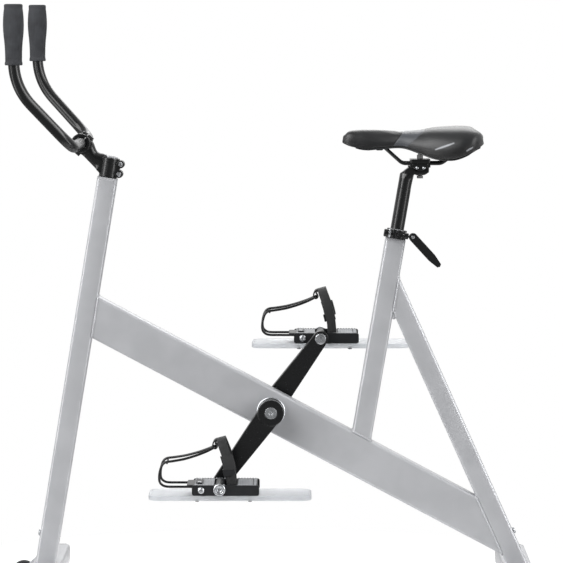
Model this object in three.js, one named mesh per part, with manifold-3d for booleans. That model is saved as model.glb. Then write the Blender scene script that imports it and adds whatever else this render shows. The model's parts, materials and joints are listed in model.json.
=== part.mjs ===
// Aqua bike: a pool exercise bike on two floor tubes.
// Millimetres, +Z up. The front (handlebar) is towards -X, the rider's left is -Y.
// While it is built the crank axis is above X = 0 and the floor is Z = 0.
import * as THREE from 'three';
import { mergeVertices } from 'three/addons/utils/BufferGeometryUtils.js';
import Module from 'manifold-3d';

const wasm = await Module();
wasm.setup();

// Frame layout, side view
const crankHeight = 393;          // crank axis above the floor
const postAhead = 403.8;          // front post's axis ahead of the crank axis, at crank height
const postHeight = 856;           // top of the front post above the floor
const seatTubeBehind = 198.7;     // seat tube's axis behind the crank axis, along the beam
const seatTubeHeight = 734;       // top of the seat tube above the floor
const strutJoinDrop = 76;         // where the strut's axis meets the seat tube's, below its top
const beamSlope = 28;             // degrees, down towards the rear
const postLean = 9.35;            // degrees from upright, top towards the rear
const seatLean = 9.61;
const strutLean = 24.25;          // degrees from upright, top towards the front

// Frame tubes
const tubeSide = 40;              // square tube of the posts, and the beam's width
const beamDepth = 80;
const tubeWall = 2;
const tubeCorner = 5;             // outer corner radius
const weldGap = 0.3;              // between pieces that are cut against each other
const fitGap = 0.3;               // round a piece that seats in another
const cutReach = 1500;            // overrun of every cut

// Floor tubes and what stands on the floor
const footLength = 540;
const footWidth = 60;
const footDepth = 40;
const padHeight = 34;
const padRadius = 26;
const padNeckRadius = 20;
const padGroove = 2;
const padStep = 11.5;             // where the pad's straight foot ends
const padInset = 35;              // pad axis from the foot tube's end
const spigotHeight = 90;
const capFlange = 5;
const capPlug = 18;
const capCorner = 8;
const postBoltHeight = 139;

// Transport wheels
const wheelRadius = 25;
const wheelWidth = 22;
const wheelInset = 100;           // wheel's middle from the foot tube's end
const wheelAhead = 28;            // wheel axis ahead of the foot tube's front face
const wheelClear = 6;             // wheel above the floor
const wheelAxleRadius = 4;
const wheelNutRadius = 7;
const wheelNut = 5;
const earThickness = 5;
const earRadius = 11;
const tyreGroove = 2.5;

// Bottom bracket and cranks
const shellRadius = 20;
const shellLength = 70;
const shellWall = 3;
const cupFlangeRadius = 28.5;
const cupFlange = 4;
const cupSleeve = 14;
const axleRadius = 8.5;
const axleSquare = 12;
const axleEnd = 60;               // end of the axle from the middle plane
const crankLength = 170;
const crankAngle = 36;            // degrees from upright, left crank forward and down
const crankInner = 48;            // inner face from the middle plane
const crankThickness = 18;
const crankRootRadius = 24;
const crankTipRadius = 15.5;
const bossRadius = 26;
const bossRise = 2;
const crankBoltRadius = 12;
const crankBoltHead = 3;
const crankBoltShank = 4;
const crankBoltDepth = 8;         // shank below its head

// Pedals
const pedalInner = 78;            // inner plate's inner face from the middle plane
const pedalWidth = 100;
const pedalPlate = 6;
const pedalFront = 54;            // ahead of the spindle
const pedalRear = 78;
const pedalTop = 8.5;             // above the spindle's axis
const pedalBottom = 12;
const pedalBar = 8;
const strapBar = 20;
const barrelRadius = 10;
const spindleRadius = 6;
const spindleNutRadius = 11;
const spindleNut = 5;
const spindleHeadRadius = 11.8;
const spindleHead = 6;
const plateCorner = 4;

// Paddles under the pedals
const paddleFront = 140;
const paddleRear = 181;
const paddleWidth = 104;
const paddleThickness = 10;
const paddleCorner = 22;

// Toe cages and straps
const cageWire = 2.5;             // radius
const cageHalf = 30;
const cageTopHalf = 11;
const cageFootRise = 3;
const cageToeAhead = 116;
const cageToeRise = 28;
const cageCrownAhead = 101;
const cageCrownRise = 56;
const cageTopRise = 87;
const cageBend = 14;
const strapWidth = 18;
const strapThickness = 2.5;
const strapHalf = 37;
const strapBack = 25;             // strap's foot behind the spindle
const strapTop = 97;
const strapLean = 13.5;           // degrees, top towards the front
const buckleHeight = 15;
const buckleWall = 2.5;
const buckleUp = 26;              // up the strap from its foot

// Steerer and stem
const steererRadius = 14.3;
const steererWall = 3;
const steererRise = 47;           // above the post's top, along its axis
const steererDepth = 70;          // inside the post
const flangeThickness = 4;        // plates that close the post and the seat tube
const stemClampRadius = 18.5;
const stemClampHeight = 40;
const stemWidth = 26;
const stemEarBack = 21.5;         // ear bolts behind the steerer's axis
const stemEarHalf = 9.8;          // ear bolts from the clamp's middle
const stemEarRadius = 8;
const stemEarWidth = 28;
const stemSlot = 2;
const barAhead = 56.3;            // bar axis ahead of the steerer clamp's middle
const barRise = 49;
const barClampRadius = 19;
const barClampWidth = 42;
const barBoltOff = 17;            // faceplate bolts from the bar's axis
const barLug = 7;
const faceplateSplit = 2;
const smallBoltRadius = 3;
const smallHeadRadius = 5;
const smallHead = 5;
const boltRadius = 4;
const boltHeadRadius = 7;
const boltHead = 4;
const headTopShare = 0.72;        // flat top of a button head
const socketShare = 0.6;          // hex socket, of the bolt's radius
const boltReach = 12;             // shank past the outer wall

// Handlebar and grips
const barRadius = 11.1;
const barWall = 2;
const barHalf = 250;              // elbow from the middle plane
const barSpread = 284;            // grips from the middle plane
const hornAhead = 109;            // grips ahead of the bar axis
const hornRise = 118;             // lower corner of the upright part above the bar axis
const gripTopRise = 276;          // grip's top above the bar axis
const elbowRadius = 42;
const hornBend = 50;
const gripLength = 117;
const gripRadius = 19.8;          // at its fullest
const gripWall = 4.2;             // at its lower end
const gripEnd = 6;                // solid end over the bar
const gripFlange = 2.5;

// Seat sleeve, collar and lever
const sleeveRadius = 15.9;
const sleeveRise = 23;            // above the seat tube's top
const sleeveDepth = 90;
const collarHeight = 18;
const collarWall = 4;
const collarOff = 26.5;            // skewer from the post's axis, sideways
const collarEar = 7;              // thickness of each ear, and its reach past the skewer
const collarSlot = 3;
const skewerRadius = 2.5;
const skewerFront = 21;           // skewer's front end ahead of the post's axis
const skewerNutRadius = 7.8;
const skewerNut = 9;
const skewerWasher = 3;
const leverLength = 80;
const leverWidth = 17;
const leverTip = 10;
const leverThickness = 9;
const leverHub = 8.5;
const leverWaist = 28;            // along the lever, where its edge is widest first
const leverShoulder = 56;         // and last
const leverMouth = 25.5;
const leverDroop = 47.5;          // degrees below the horizontal
const leverBack = 33;             // lever's pivot behind the post's axis

// Seatpost and saddle clamp
const postTubeRadius = 13.6;
const seatpostLength = 300;
const seatpostOut = 118;          // above the seat tube's top, along the axis
const clampBack = 49;             // saddle clamp's middle behind the seat tube's top
const clampRise = 155;            // and above it
const cradleRadius = 15;
const headRadius = 25;
const headWidth = 28;
const headLip = 5;                // cradle's edge below the tilt axis
const headSink = 2;               // neck's top below the head's rim
const neckHalf = 12.9;
const neckReach = 22.5;
const neckRise = 16.3;
const headBack = 18;              // head's rear end behind the tilt axis
const clampHalf = 20;             // along the rails
const clampWidth = 58;
const clampTop = 8;
const clampBoltRadius = 4;
const clampBoltHead = 7;
const clampBoltHeadHeight = 5;
const clampNutHeight = 8;
const clampTilt = 8;              // degrees each way

// Saddle
const railRadius = 3.5;
const railHalf = 22;
const railAhead = 36;             // straight part ahead of the clamp's middle
const railBehind = 42;
const railNoseAhead = 70;
const railNoseRise = 30.5;
const railNoseHalf = 12;
const railTailBehind = 84;
const railTailRise = 22;
const railTailHalf = 30;
const railBend = 7;
const socketSize = 14;            // rail sockets under the base
const socketLift = 1.75;          // socket's middle above its rail
const saddleLength = 286;
const saddleWidth = 156;
const saddleDepth = 66;           // lowest edge to highest crown
const saddleAhead = 157.5;        // nose ahead of the clamp's middle
const saddleRise = 7;             // lowest edge above the rails' axis
const basePlate = 4;
const foamGap = 0.5;

// Facet counts
const roundSides = 18;
const headSides = 12;
const smallSides = 8;
const hexSides = 6;
const cornerSides = 3;            // facets of a rounded corner
const bladeSides = 5;
const wireSides = 6;
const cradleSides = 36;
const cageSteps = 44;
const barSteps = 50;
const barSides = 10;
const gripSides = 14;
const strapSteps = 22;
const railSteps = 44;
const saddleSteps = 24;

const radians = THREE.MathUtils.degToRad;
const coordinates = 3;            // numbers per vertex
const rightAngle = 90;
const bike = new THREE.Group();

// Finishes
const finishes = {
  paint: { color: 0xb4b6b9, roughness: 0.38, metalness: 0.35 },
  blackAlloy: { color: 0x17181a, roughness: 0.3, metalness: 0.5 },
  steel: { color: 0xc9cbce, roughness: 0.25, metalness: 0.9 },
  plastic: { color: 0x1d1e20, roughness: 0.5, metalness: 0 },
  rubber: { color: 0x222325, roughness: 0.85, metalness: 0 },
  greyPlastic: { color: 0x8d9094, roughness: 0.6, metalness: 0 },
  grip: { color: 0x3a3b3e, roughness: 0.8, metalness: 0 },
  vinyl: { color: 0x2c2d30, roughness: 0.45, metalness: 0 },
  clear: { color: 0xe4e6e8, roughness: 0.35, metalness: 0 },
  webbing: { color: 0x1b1c1e, roughness: 0.9, metalness: 0 },
};

// A geometry as a solid that can be cut, and back
function toSolid(geometry) {
  const bare = geometry.index ? geometry.toNonIndexed() : geometry.clone();
  bare.deleteAttribute('normal');
  bare.deleteAttribute('uv');
  const merged = mergeVertices(bare);
  return new wasm.Manifold(new wasm.Mesh({
    numProp: coordinates,
    vertProperties: new Float32Array(merged.attributes.position.array),
    triVerts: new Uint32Array(merged.index.array),
  }));
}

function toGeometry(solid) {
  const mesh = solid.getMesh();
  const geometry = new THREE.BufferGeometry();
  geometry.setAttribute('position', new THREE.BufferAttribute(mesh.vertProperties, coordinates));
  geometry.setIndex(new THREE.BufferAttribute(mesh.triVerts, 1));
  return geometry;
}

// Base geometry plus joins, minus cuts
function carve(base, joins, cuts) {
  let solid = toSolid(base);
  for (const join of joins) solid = solid.add(toSolid(join));
  for (const cut of cuts) solid = solid.subtract(toSolid(cut));
  return toGeometry(solid);
}

function addPiece(group, name, geometry, finish) {
  const mesh = new THREE.Mesh(geometry, new THREE.MeshStandardMaterial(finishes[finish]));
  mesh.name = name;
  group.add(mesh);
  return mesh;
}

// Points and directions in the side view: x along the bike, z up
const point = (x, z, y = 0) => new THREE.Vector3(x, y, z);
const leanAxis = (degrees) => point(Math.sin(radians(degrees)), Math.cos(radians(degrees)));
const ahead = (from, direction, distance) => from.clone().addScaledVector(direction, distance);

// Where two lines of the side view cross
function crossing(from, along, other, otherAlong) {
  const scale = along.x * otherAlong.z - along.z * otherAlong.x;
  const gapX = other.x - from.x;
  const gapZ = other.z - from.z;
  return ahead(from, along, (gapX * otherAlong.z - gapZ * otherAlong.x) / scale);
}

// Turn a geometry that stands on +Z so that it stands along a direction, and place its foot
function standAt(geometry, foot, direction) {
  const turn = new THREE.Quaternion().setFromUnitVectors(new THREE.Vector3(0, 0, 1), direction);
  return geometry.applyQuaternion(turn).translate(foot.x, foot.y, foot.z);
}

// Round bar between two points
function rod(radius, from, to, sides = roundSides) {
  const along = to.clone().sub(from);
  const bar = new THREE.CylinderGeometry(radius, radius, along.length(), sides);
  bar.rotateX(Math.PI / 2).translate(0, 0, along.length() / 2);
  return standAt(bar, from, along.normalize());
}

// Round bar along Y through a point of the side view
function crossRod(radius, middle, width, sides = roundSides) {
  const half = new THREE.Vector3(0, width / 2, 0);
  return rod(radius, middle.clone().sub(half), middle.clone().add(half), sides);
}

// Box about a middle point, leaning by degrees from upright: size across, along Y, up its axis
function slab(middle, deep, wide, tall, lean = 0) {
  const box = new THREE.BoxGeometry(deep, wide, tall);
  return box.rotateY(radians(lean)).translate(middle.x, middle.y, middle.z);
}

function roundedRect(width, height, radius, sides = cornerSides) {
  const x = width / 2 - radius;
  const y = height / 2 - radius;
  const outline = new THREE.Shape();
  const corners = [[x, -y, -1], [x, y, 0], [-x, y, 1], [-x, -y, 2]];
  for (const [cx, cy, quarter] of corners) {
    for (let i = 0; i <= sides; i += 1) {
      const turn = (quarter + i / sides) * Math.PI / 2;
      const px = cx + radius * Math.cos(turn);
      const py = cy + radius * Math.sin(turn);
      if (outline.curves.length || outline.currentPoint.lengthSq() > 0) outline.lineTo(px, py);
      else outline.moveTo(px, py);
    }
  }
  outline.closePath();
  return outline;
}

// Square or flat tube that stands on a foot point: in-plane depth, width along Y
function boxTube(foot, direction, length, deep, wide, wall) {
  const section = roundedRect(deep, wide, tubeCorner);
  section.holes.push(roundedRect(deep - 2 * wall, wide - 2 * wall, tubeCorner - wall));
  const tube = new THREE.ExtrudeGeometry(section, { depth: length, steps: 1, bevelEnabled: false });
  return standAt(tube, foot, direction);
}

// Side-view outline given a width along Y, about a middle plane
function sidePlate(outline, width, middleY) {
  const plate = new THREE.ExtrudeGeometry(outline, { depth: width, steps: 1, bevelEnabled: false });
  return plate.translate(0, 0, -width / 2).rotateX(Math.PI / 2).translate(0, middleY, 0);
}

function polygon(points) {
  return new THREE.Shape(points.map((p) => new THREE.Vector2(p.x, p.z)));
}

// Everything on one side of a line of the side view, to cut with
function beyond(onLine, normal) {
  const block = new THREE.BoxGeometry(cutReach, cutReach, cutReach).translate(0, 0, cutReach / 2);
  return standAt(block, onLine, normal);
}

// Turned piece: radius and height pairs, closed on the axis
function turned(pairs, sides = roundSides) {
  const profile = pairs.map(([radius, height]) => new THREE.Vector2(radius, height));
  return new THREE.LatheGeometry(profile, sides).rotateX(Math.PI / 2);
}

// Side-view directions and the frame's crossings
const beamAxis = point(Math.cos(radians(beamSlope)), -Math.sin(radians(beamSlope)));
const beamUp = point(Math.sin(radians(beamSlope)), Math.cos(radians(beamSlope)));
const postAxis = leanAxis(postLean);
const postBack = leanAxis(postLean + rightAngle);
const seatAxis = leanAxis(seatLean);
const seatBack = leanAxis(seatLean + rightAngle);
const strutAxis = leanAxis(-strutLean);
const strutBack = leanAxis(rightAngle - strutLean);
const crankCentre = point(0, crankHeight);
const postAtCrank = point(-postAhead, crankHeight);
const footTop = padHeight + footDepth;
const tubeHalf = tubeSide / 2;

const upTo = (onAxis, axis, height) => ahead(onAxis, axis, (height - onAxis.z) / axis.z);
const postFoot = upTo(postAtCrank, postAxis, footTop);
const postTop = upTo(postAtCrank, postAxis, postHeight);
const seatFoot = ahead(crankCentre, beamAxis, seatTubeBehind);
const seatTop = upTo(seatFoot, seatAxis, seatTubeHeight);
const strutTop = upTo(seatFoot, seatAxis, seatTubeHeight - strutJoinDrop);
const strutFoot = upTo(strutTop, strutAxis, footTop);

// The diagonal beam: its ends are cut to the post and the strut, and the crank shell passes through
function mainBeam() {
  const front = crossing(crankCentre, beamAxis, postAtCrank, postAxis);
  const rear = crossing(crankCentre, beamAxis, strutTop, strutAxis);
  const start = ahead(front, beamAxis, -beamDepth);
  const length = front.distanceTo(rear) + 2 * beamDepth;
  const tube = boxTube(start, beamAxis, length, beamDepth, tubeSide, tubeWall);
  const postFace = ahead(front, postBack, tubeHalf + weldGap);
  const strutFace = ahead(rear, strutBack, -tubeHalf - weldGap);
  return carve(tube, [], [
    beyond(postFace, postBack.clone().negate()),
    beyond(strutFace, strutBack),
    crossRod(shellRadius + weldGap, crankCentre, cutReach),
  ]);
}

function postBoltPlace(onAxis, axis, outward) {
  return ahead(upTo(onAxis, axis, postBoltHeight), outward, tubeHalf);
}

// Upright tube with a level foot, open at the top, with the hole of its bolt
function uprightTube(foot, axis, top, outward) {
  const length = foot.distanceTo(top) + tubeSide;
  const tube = boxTube(ahead(foot, axis, -tubeSide), axis, length, tubeSide, tubeSide, tubeWall);
  const seat = point(foot.x, footTop + weldGap);
  const face = postBoltPlace(foot, axis, outward);
  const hole = rod(boltRadius + fitGap, ahead(face, outward, -2 * tubeWall),
    ahead(face, outward, tubeWall), smallSides);
  return [tube, seat, hole];
}

function frontPost() {
  const [tube, seat, hole] = uprightTube(postFoot, postAxis, postTop, postBack.clone().negate());
  return carve(tube, [], [beyond(seat, point(0, -1)), beyond(postTop, postAxis), hole]);
}

function rearStrut() {
  const [tube, seat, hole] = uprightTube(strutFoot, strutAxis, strutTop, strutBack);
  const seatFace = ahead(strutTop, seatBack, tubeHalf + weldGap);
  return carve(tube, [], [beyond(seat, point(0, -1)), beyond(seatFace, seatBack.clone().negate()), hole]);
}

function seatTube() {
  const length = seatFoot.distanceTo(seatTop);
  const tube = boxTube(seatFoot, seatAxis, length, tubeSide, tubeSide, tubeWall);
  const beamFace = ahead(crankCentre, beamUp, beamDepth / 2 + weldGap);
  return carve(tube, [], [beyond(beamFace, beamUp.clone().negate())]);
}

addPiece(bike, 'main_beam', mainBeam(), 'paint');
addPiece(bike, 'front_post', frontPost(), 'paint');
addPiece(bike, 'rear_strut', rearStrut(), 'paint');
addPiece(bike, 'seat_tube', seatTube(), 'paint');

// Wheel places on the front floor tube
const wheelSide = footLength / 2 - wheelInset;
const wheelCentre = point(postFoot.x - footWidth / 2 - wheelAhead, wheelClear + wheelRadius);
const earSide = wheelSide - wheelWidth / 2 - earThickness / 2 - 2 * fitGap;

// Floor tube with the spigot that goes up inside its post; the front one has the wheel ears
function floorTube(onTop, axis, outward, hasWheels) {
  const section = roundedRect(footWidth, footDepth, tubeCorner);
  section.holes.push(roundedRect(footWidth - 2 * tubeWall, footDepth - 2 * tubeWall, tubeCorner - tubeWall));
  const middle = point(onTop.x, padHeight + footDepth / 2);
  const tube = sidePlate(section, footLength, 0).translate(middle.x, 0, middle.z);
  const side = tubeSide - 2 * tubeWall - 2 * fitGap;
  const length = spigotHeight + tubeSide;
  const spigot = boxTube(ahead(onTop, axis, -tubeSide), axis, length, side, side, tubeWall);
  const under = point(onTop.x, footTop - tubeWall / 2);
  const trimmed = carve(spigot, [], [beyond(under, point(0, -1))]);
  const face = postBoltPlace(onTop, axis, outward);
  const hole = rod(boltRadius + fitGap, ahead(face, outward, -tubeHalf),
    ahead(face, outward, tubeWall), smallSides);
  const joins = [trimmed];
  const cuts = [hole];
  if (hasWheels) {
    const faceX = middle.x - footWidth / 2 + tubeWall / 2;
    for (const side of [-1, 1]) {
      const outline = polygon([point(faceX, footTop - tubeCorner), point(faceX, padHeight + tubeCorner),
        point(wheelCentre.x, wheelCentre.z - earRadius), point(wheelCentre.x, wheelCentre.z + earRadius)]);
      joins.push(sidePlate(outline, earThickness, side * earSide));
      joins.push(crossRod(earRadius, wheelCentre, earThickness).translate(0, side * earSide, 0));
    }
    cuts.push(crossRod(wheelAxleRadius + fitGap, wheelCentre, cutReach, smallSides));
  }
  return carve(tube, joins, cuts);
}

addPiece(bike, 'front_foot', floorTube(postFoot, postAxis, postBack.clone().negate(), true), 'paint');
addPiece(bike, 'rear_foot', floorTube(strutFoot, strutAxis, strutBack, false), 'paint');

// Plastic cap that closes a floor tube's end: a flange outside and a plug inside
function footCap(onTop, side) {
  const middle = point(onTop.x, padHeight + footDepth / 2);
  const flange = sidePlate(roundedRect(footWidth, footDepth, capCorner), capFlange, 0);
  const plugGap = 2 * (tubeWall + fitGap);
  const plugOutline = roundedRect(footWidth - plugGap, footDepth - plugGap, tubeCorner - tubeWall);
  const plug = sidePlate(plugOutline, capPlug + capFlange, 0);
  plug.translate(0, -side * (capPlug / 2), 0);
  const place = side * (footLength / 2 + weldGap + capFlange / 2);
  return carve(flange, [plug], []).translate(middle.x, place, middle.z);
}

// Rubber foot under a floor tube
function footPad() {
  const top = padHeight - weldGap;
  return turned([[0, 0], [padRadius - padGroove, 0], [padRadius, padGroove], [padRadius, padStep],
    [padRadius - padGroove, padStep + padGroove], [padNeckRadius, top], [0, top]]);
}

for (const [end, onTop] of [['front', postFoot], ['rear', strutFoot]]) {
  for (const [hand, side] of [['left', -1], ['right', 1]]) {
    addPiece(bike, `foot_cap_${end}_${hand}`, footCap(onTop, side), 'plastic');
    const pad = footPad().translate(onTop.x, side * (footLength / 2 - padInset), 0);
    addPiece(bike, `foot_pad_${end}_${hand}`, pad, 'rubber');
  }
}

// Button-head bolt: a shank with a head on the outside, pointing inwards from a face
function buttonBolt(face, outward, radius, headRadius, headHeight, reach) {
  const shank = rod(radius, ahead(face, outward, -reach), ahead(face, outward, headHeight / 2), smallSides);
  const head = turned([[0, 0], [headRadius, 0], [headRadius, headHeight / 2],
    [headRadius * headTopShare, headHeight], [0, headHeight]], headSides);
  const key = radius * socketShare;
  const socket = new THREE.CylinderGeometry(key, key, headHeight, hexSides);
  socket.rotateX(Math.PI / 2).translate(0, 0, headHeight);
  const seat = ahead(face, outward, weldGap);
  return carve(shank, [standAt(head, seat, outward)], [standAt(socket, seat, outward)]);
}

for (const [name, onTop, axis, outward] of [
  ['front_post_bolt', postFoot, postAxis, postBack.clone().negate()],
  ['rear_strut_bolt', strutFoot, strutAxis, strutBack],
]) {
  const face = postBoltPlace(onTop, axis, outward);
  addPiece(bike, name, buttonBolt(face, outward, boltRadius, boltHeadRadius, boltHead, boltReach), 'steel');
}

// Transport wheels on one long axle with a nut at each end
function wheel() {
  const half = wheelWidth / 2;
  const tread = wheelRadius - tyreGroove;
  const profile = [[wheelAxleRadius + fitGap, -half], [tread, -half], [wheelRadius, -half + tyreGroove],
    [wheelRadius, -tyreGroove], [tread, 0], [wheelRadius, tyreGroove],
    [wheelRadius, half - tyreGroove], [tread, half], [wheelAxleRadius + fitGap, half]];
  const closed = profile.concat([profile[0]]).map(([r, h]) => new THREE.Vector2(r, h));
  return new THREE.LatheGeometry(closed, roundSides);
}

function wheelAxle() {
  const nutFace = wheelSide + wheelWidth / 2 + fitGap;
  const long = crossRod(wheelAxleRadius, wheelCentre, 2 * nutFace + wheelNut, smallSides);
  const nuts = [-1, 1].map((side) => crossRod(wheelNutRadius, wheelCentre, wheelNut, hexSides)
    .translate(0, side * (nutFace + wheelNut / 2), 0));
  return carve(long, nuts, []);
}

addPiece(bike, 'wheel_axle', wheelAxle(), 'steel');
for (const [hand, side] of [['left', -1], ['right', 1]]) {
  const rim = wheel().translate(wheelCentre.x, side * wheelSide, wheelCentre.z);
  addPiece(bike, `${hand}_wheel`, rim, 'rubber');
}

// Crank shell through the beam, with a flanged bearing cup in each end
function crankShell() {
  const tube = crossRod(shellRadius, crankCentre, shellLength);
  return carve(tube, [], [crossRod(shellRadius - shellWall, crankCentre, cutReach)]);
}

function bearingCup(side) {
  const face = side * (shellLength / 2 + weldGap);
  const flange = crossRod(cupFlangeRadius, crankCentre, cupFlange);
  flange.translate(0, face + side * cupFlange / 2, 0);
  const sleeve = crossRod(shellRadius - shellWall - fitGap, crankCentre, cupSleeve + cupFlange);
  sleeve.translate(0, face - side * (cupSleeve - cupFlange) / 2, 0);
  return carve(flange, [sleeve], [crossRod(axleRadius + fitGap, crankCentre, cutReach)]);
}

addPiece(bike, 'bottom_bracket_shell', crankShell(), 'paint');
addPiece(bike, 'left_bearing_cup', bearingCup(-1), 'steel');
addPiece(bike, 'right_bearing_cup', bearingCup(1), 'steel');

// Crank set, built upright about the crank axis: the left crank points down, the right one up
const crankSet = new THREE.Group();
crankSet.position.copy(crankCentre);
crankSet.rotation.y = radians(crankAngle);
bike.add(crankSet);
const hub = point(0, 0);

function crankAxle() {
  const round = crossRod(axleRadius, hub, 2 * (crankInner - weldGap));
  const square = slab(hub, axleSquare, 2 * axleEnd, axleSquare);
  const threads = crossRod(crankBoltShank + fitGap, hub, cutReach, smallSides);
  const core = slab(hub, axleSquare, crankInner, axleSquare);
  const ends = carve(threads, [], [core]);
  return carve(round, [square], [ends]);
}

// Arm between two round ends, as an outline: the root's arc, then the tip's
function crankOutline(side) {
  const taper = Math.asin((crankRootRadius - crankTipRadius) / crankLength);
  const steps = roundSides / 2;
  const outline = new THREE.Shape();
  const arc = (radius, middle, start, sweep) => {
    for (let i = 0; i <= steps; i += 1) {
      const turn = start + sweep * (i / steps);
      const x = side * radius * Math.cos(turn);
      const y = side * (middle + radius * Math.sin(turn));
      if (middle || i) outline.lineTo(x, y); else outline.moveTo(x, y);
    }
  };
  arc(crankRootRadius, 0, Math.PI - taper, Math.PI + 2 * taper);
  arc(crankTipRadius, crankLength, taper, Math.PI - 2 * taper);
  outline.closePath();
  return outline;
}

function crank(side) {
  const length = side * crankLength;
  const middle = side * (crankInner + crankThickness / 2);
  const arm = sidePlate(crankOutline(side), crankThickness, middle);
  const boss = crossRod(bossRadius, hub, crankThickness + bossRise);
  boss.translate(0, middle + side * bossRise / 2, 0);
  const squareHole = slab(hub, axleSquare + 2 * fitGap, cutReach, axleSquare + 2 * fitGap);
  const outer = side * (crankInner + crankThickness + bossRise);
  const recess = crossRod(crankBoltRadius + fitGap, hub, 2 * crankBoltHead).translate(0, outer, 0);
  const eye = crossRod(spindleRadius + fitGap, point(0, length), cutReach, smallSides * 2);
  return carve(arm, [boss], [squareHole, recess, eye]);
}

// Crank bolt: a wide cap in the boss and a shank in the axle's end
function crankBolt(side) {
  const seat = crankInner + crankThickness + bossRise - crankBoltHead + weldGap;
  const cap = crossRod(crankBoltRadius, hub, crankBoltHead);
  cap.translate(0, side * (seat + crankBoltHead / 2), 0);
  const start = axleEnd - crankBoltDepth;
  const shank = crossRod(crankBoltShank, hub, seat + crankBoltHead / 2 - start, smallSides);
  shank.translate(0, side * (seat + crankBoltHead / 2 + start) / 2, 0);
  const key = crossRod(crankBoltShank, hub, crankBoltHead, hexSides);
  key.translate(0, side * (seat + crankBoltHead), 0);
  return carve(cap, [shank], [key]);
}

// Spindle: a nut inside the crank, a rod through crank and pedal, and a round head outside the pedal
function pedalSpindle(side) {
  const eye = point(0, side * crankLength);
  const inner = crankInner - weldGap;
  const outer = pedalInner + pedalWidth + weldGap;
  const shaft = crossRod(spindleRadius, eye, outer - inner + spindleNut);
  shaft.translate(0, side * (inner + outer) / 2, 0);
  const nut = crossRod(spindleNutRadius, eye, spindleNut);
  nut.translate(0, side * (inner - spindleNut / 2), 0);
  const head = crossRod(spindleHeadRadius, eye, spindleHead);
  head.translate(0, side * (outer + spindleHead / 2), 0);
  return carve(shaft, [nut, head], []);
}

addPiece(crankSet, 'crank_axle', crankAxle(), 'steel');
for (const [hand, side] of [['left', -1], ['right', 1]]) {
  addPiece(crankSet, `${hand}_crank`, crank(side), 'blackAlloy');
  addPiece(crankSet, `${hand}_crank_bolt`, crankBolt(side), 'steel');
  addPiece(crankSet, `${hand}_pedal_spindle`, pedalSpindle(side), 'steel');
}

// Pedal, built about its own middle on the spindle's axis
const pedalHalf = pedalWidth / 2;
const pedalMiddleZ = (pedalTop - pedalBottom) / 2;
const pedalDepth = pedalTop + pedalBottom;
const pedalLength = pedalFront + pedalRear;

function pedalBody() {
  const middleX = (pedalRear - pedalFront) / 2;
  const outline = roundedRect(pedalLength, pedalDepth, plateCorner);
  const plates = [-1, 1].map((side) => sidePlate(outline, pedalPlate, side * (pedalHalf - pedalPlate / 2))
    .translate(middleX, 0, pedalMiddleZ));
  const bar = (x, width) => slab(point(x, pedalMiddleZ), width, pedalWidth - pedalPlate, pedalDepth);
  const bars = [bar(-pedalFront + pedalBar / 2 + plateCorner, pedalBar), bar(strapBack, strapBar),
    bar(pedalRear - pedalBar / 2 - plateCorner, pedalBar)];
  const barrel = crossRod(barrelRadius, hub, pedalWidth - pedalPlate);
  const bore = crossRod(spindleRadius + fitGap, hub, cutReach, smallSides * 2);
  return carve(plates[0], [plates[1], ...bars, barrel], [bore]);
}

// Paddle: a rounded blade screwed flat under the pedal
function paddle() {
  const outline = roundedRect(paddleFront + paddleRear, paddleWidth, paddleCorner, bladeSides);
  const blade = new THREE.ExtrudeGeometry(outline, { depth: paddleThickness, steps: 1, bevelEnabled: false });
  const top = -pedalBottom - weldGap;
  return blade.translate((paddleRear - paddleFront) / 2, 0, top - paddleThickness);
}

// A path through corner points with each corner rounded off
function roundedPath(corners, bends) {
  const path = new THREE.CurvePath();
  let start = corners[0];
  for (let i = 1; i < corners.length; i += 1) {
    const corner = corners[i];
    if (i === corners.length - 1) {
      path.add(new THREE.LineCurve3(start, corner));
      break;
    }
    const back = ahead(corner, start.clone().sub(corner).normalize(), bends[i - 1]);
    const on = ahead(corner, corners[i + 1].clone().sub(corner).normalize(), bends[i - 1]);
    path.add(new THREE.LineCurve3(start, back));
    path.add(new THREE.QuadraticBezierCurve3(back, corner, on));
    start = on;
  }
  return path;
}

function ring(radius, sides) {
  const outline = new THREE.Shape();
  for (let i = 0; i < sides; i += 1) {
    const turn = (i / sides) * 2 * Math.PI;
    if (i) outline.lineTo(radius * Math.cos(turn), radius * Math.sin(turn));
    else outline.moveTo(radius, 0);
  }
  outline.closePath();
  return outline;
}

// Toe cage: one wire from the pedal's front edge, up round the toe, across at the top and back
function toeCage() {
  const start = -pedalFront + plateCorner - weldGap;
  const half = [point(start, cageFootRise, cageHalf), point(-cageToeAhead, cageFootRise, cageHalf),
    point(-cageToeAhead - cageWire, cageToeRise, cageHalf), point(-cageCrownAhead, cageCrownRise, cageHalf),
    point(cageTopAhead(), cageTopRise, cageTopHalf)];
  const mirrored = half.slice().reverse().map((p) => point(p.x, p.z, -p.y));
  const bends = [cageBend, cageWire, cageBend, cageBend / 2];
  const path = roundedPath(half.concat(mirrored), bends.concat(bends.slice().reverse()));
  return new THREE.ExtrudeGeometry(ring(cageWire, wireSides), { steps: cageSteps, extrudePath: path });
}

// The cage's top wire lies against the strap's front edge
function cageTopAhead() {
  const lean = Math.tan(radians(strapLean));
  const strapTopX = strapBack - (strapTop - pedalTop) * lean;
  return strapTopX - strapWidth / 2 - cageWire - 2 * fitGap;
}

// Strip of a given thickness along a curve, as an outline
function stripOutline(curve, thickness, steps) {
  const left = [];
  const right = [];
  for (let i = 0; i <= steps; i += 1) {
    const middle = curve.getPoint(i / steps);
    const along = curve.getTangent(i / steps);
    const off = new THREE.Vector2(-along.y, along.x).multiplyScalar(thickness / 2);
    left.push(middle.clone().add(off));
    right.unshift(middle.clone().sub(off));
  }
  return new THREE.Shape(left.concat(right));
}

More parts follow.
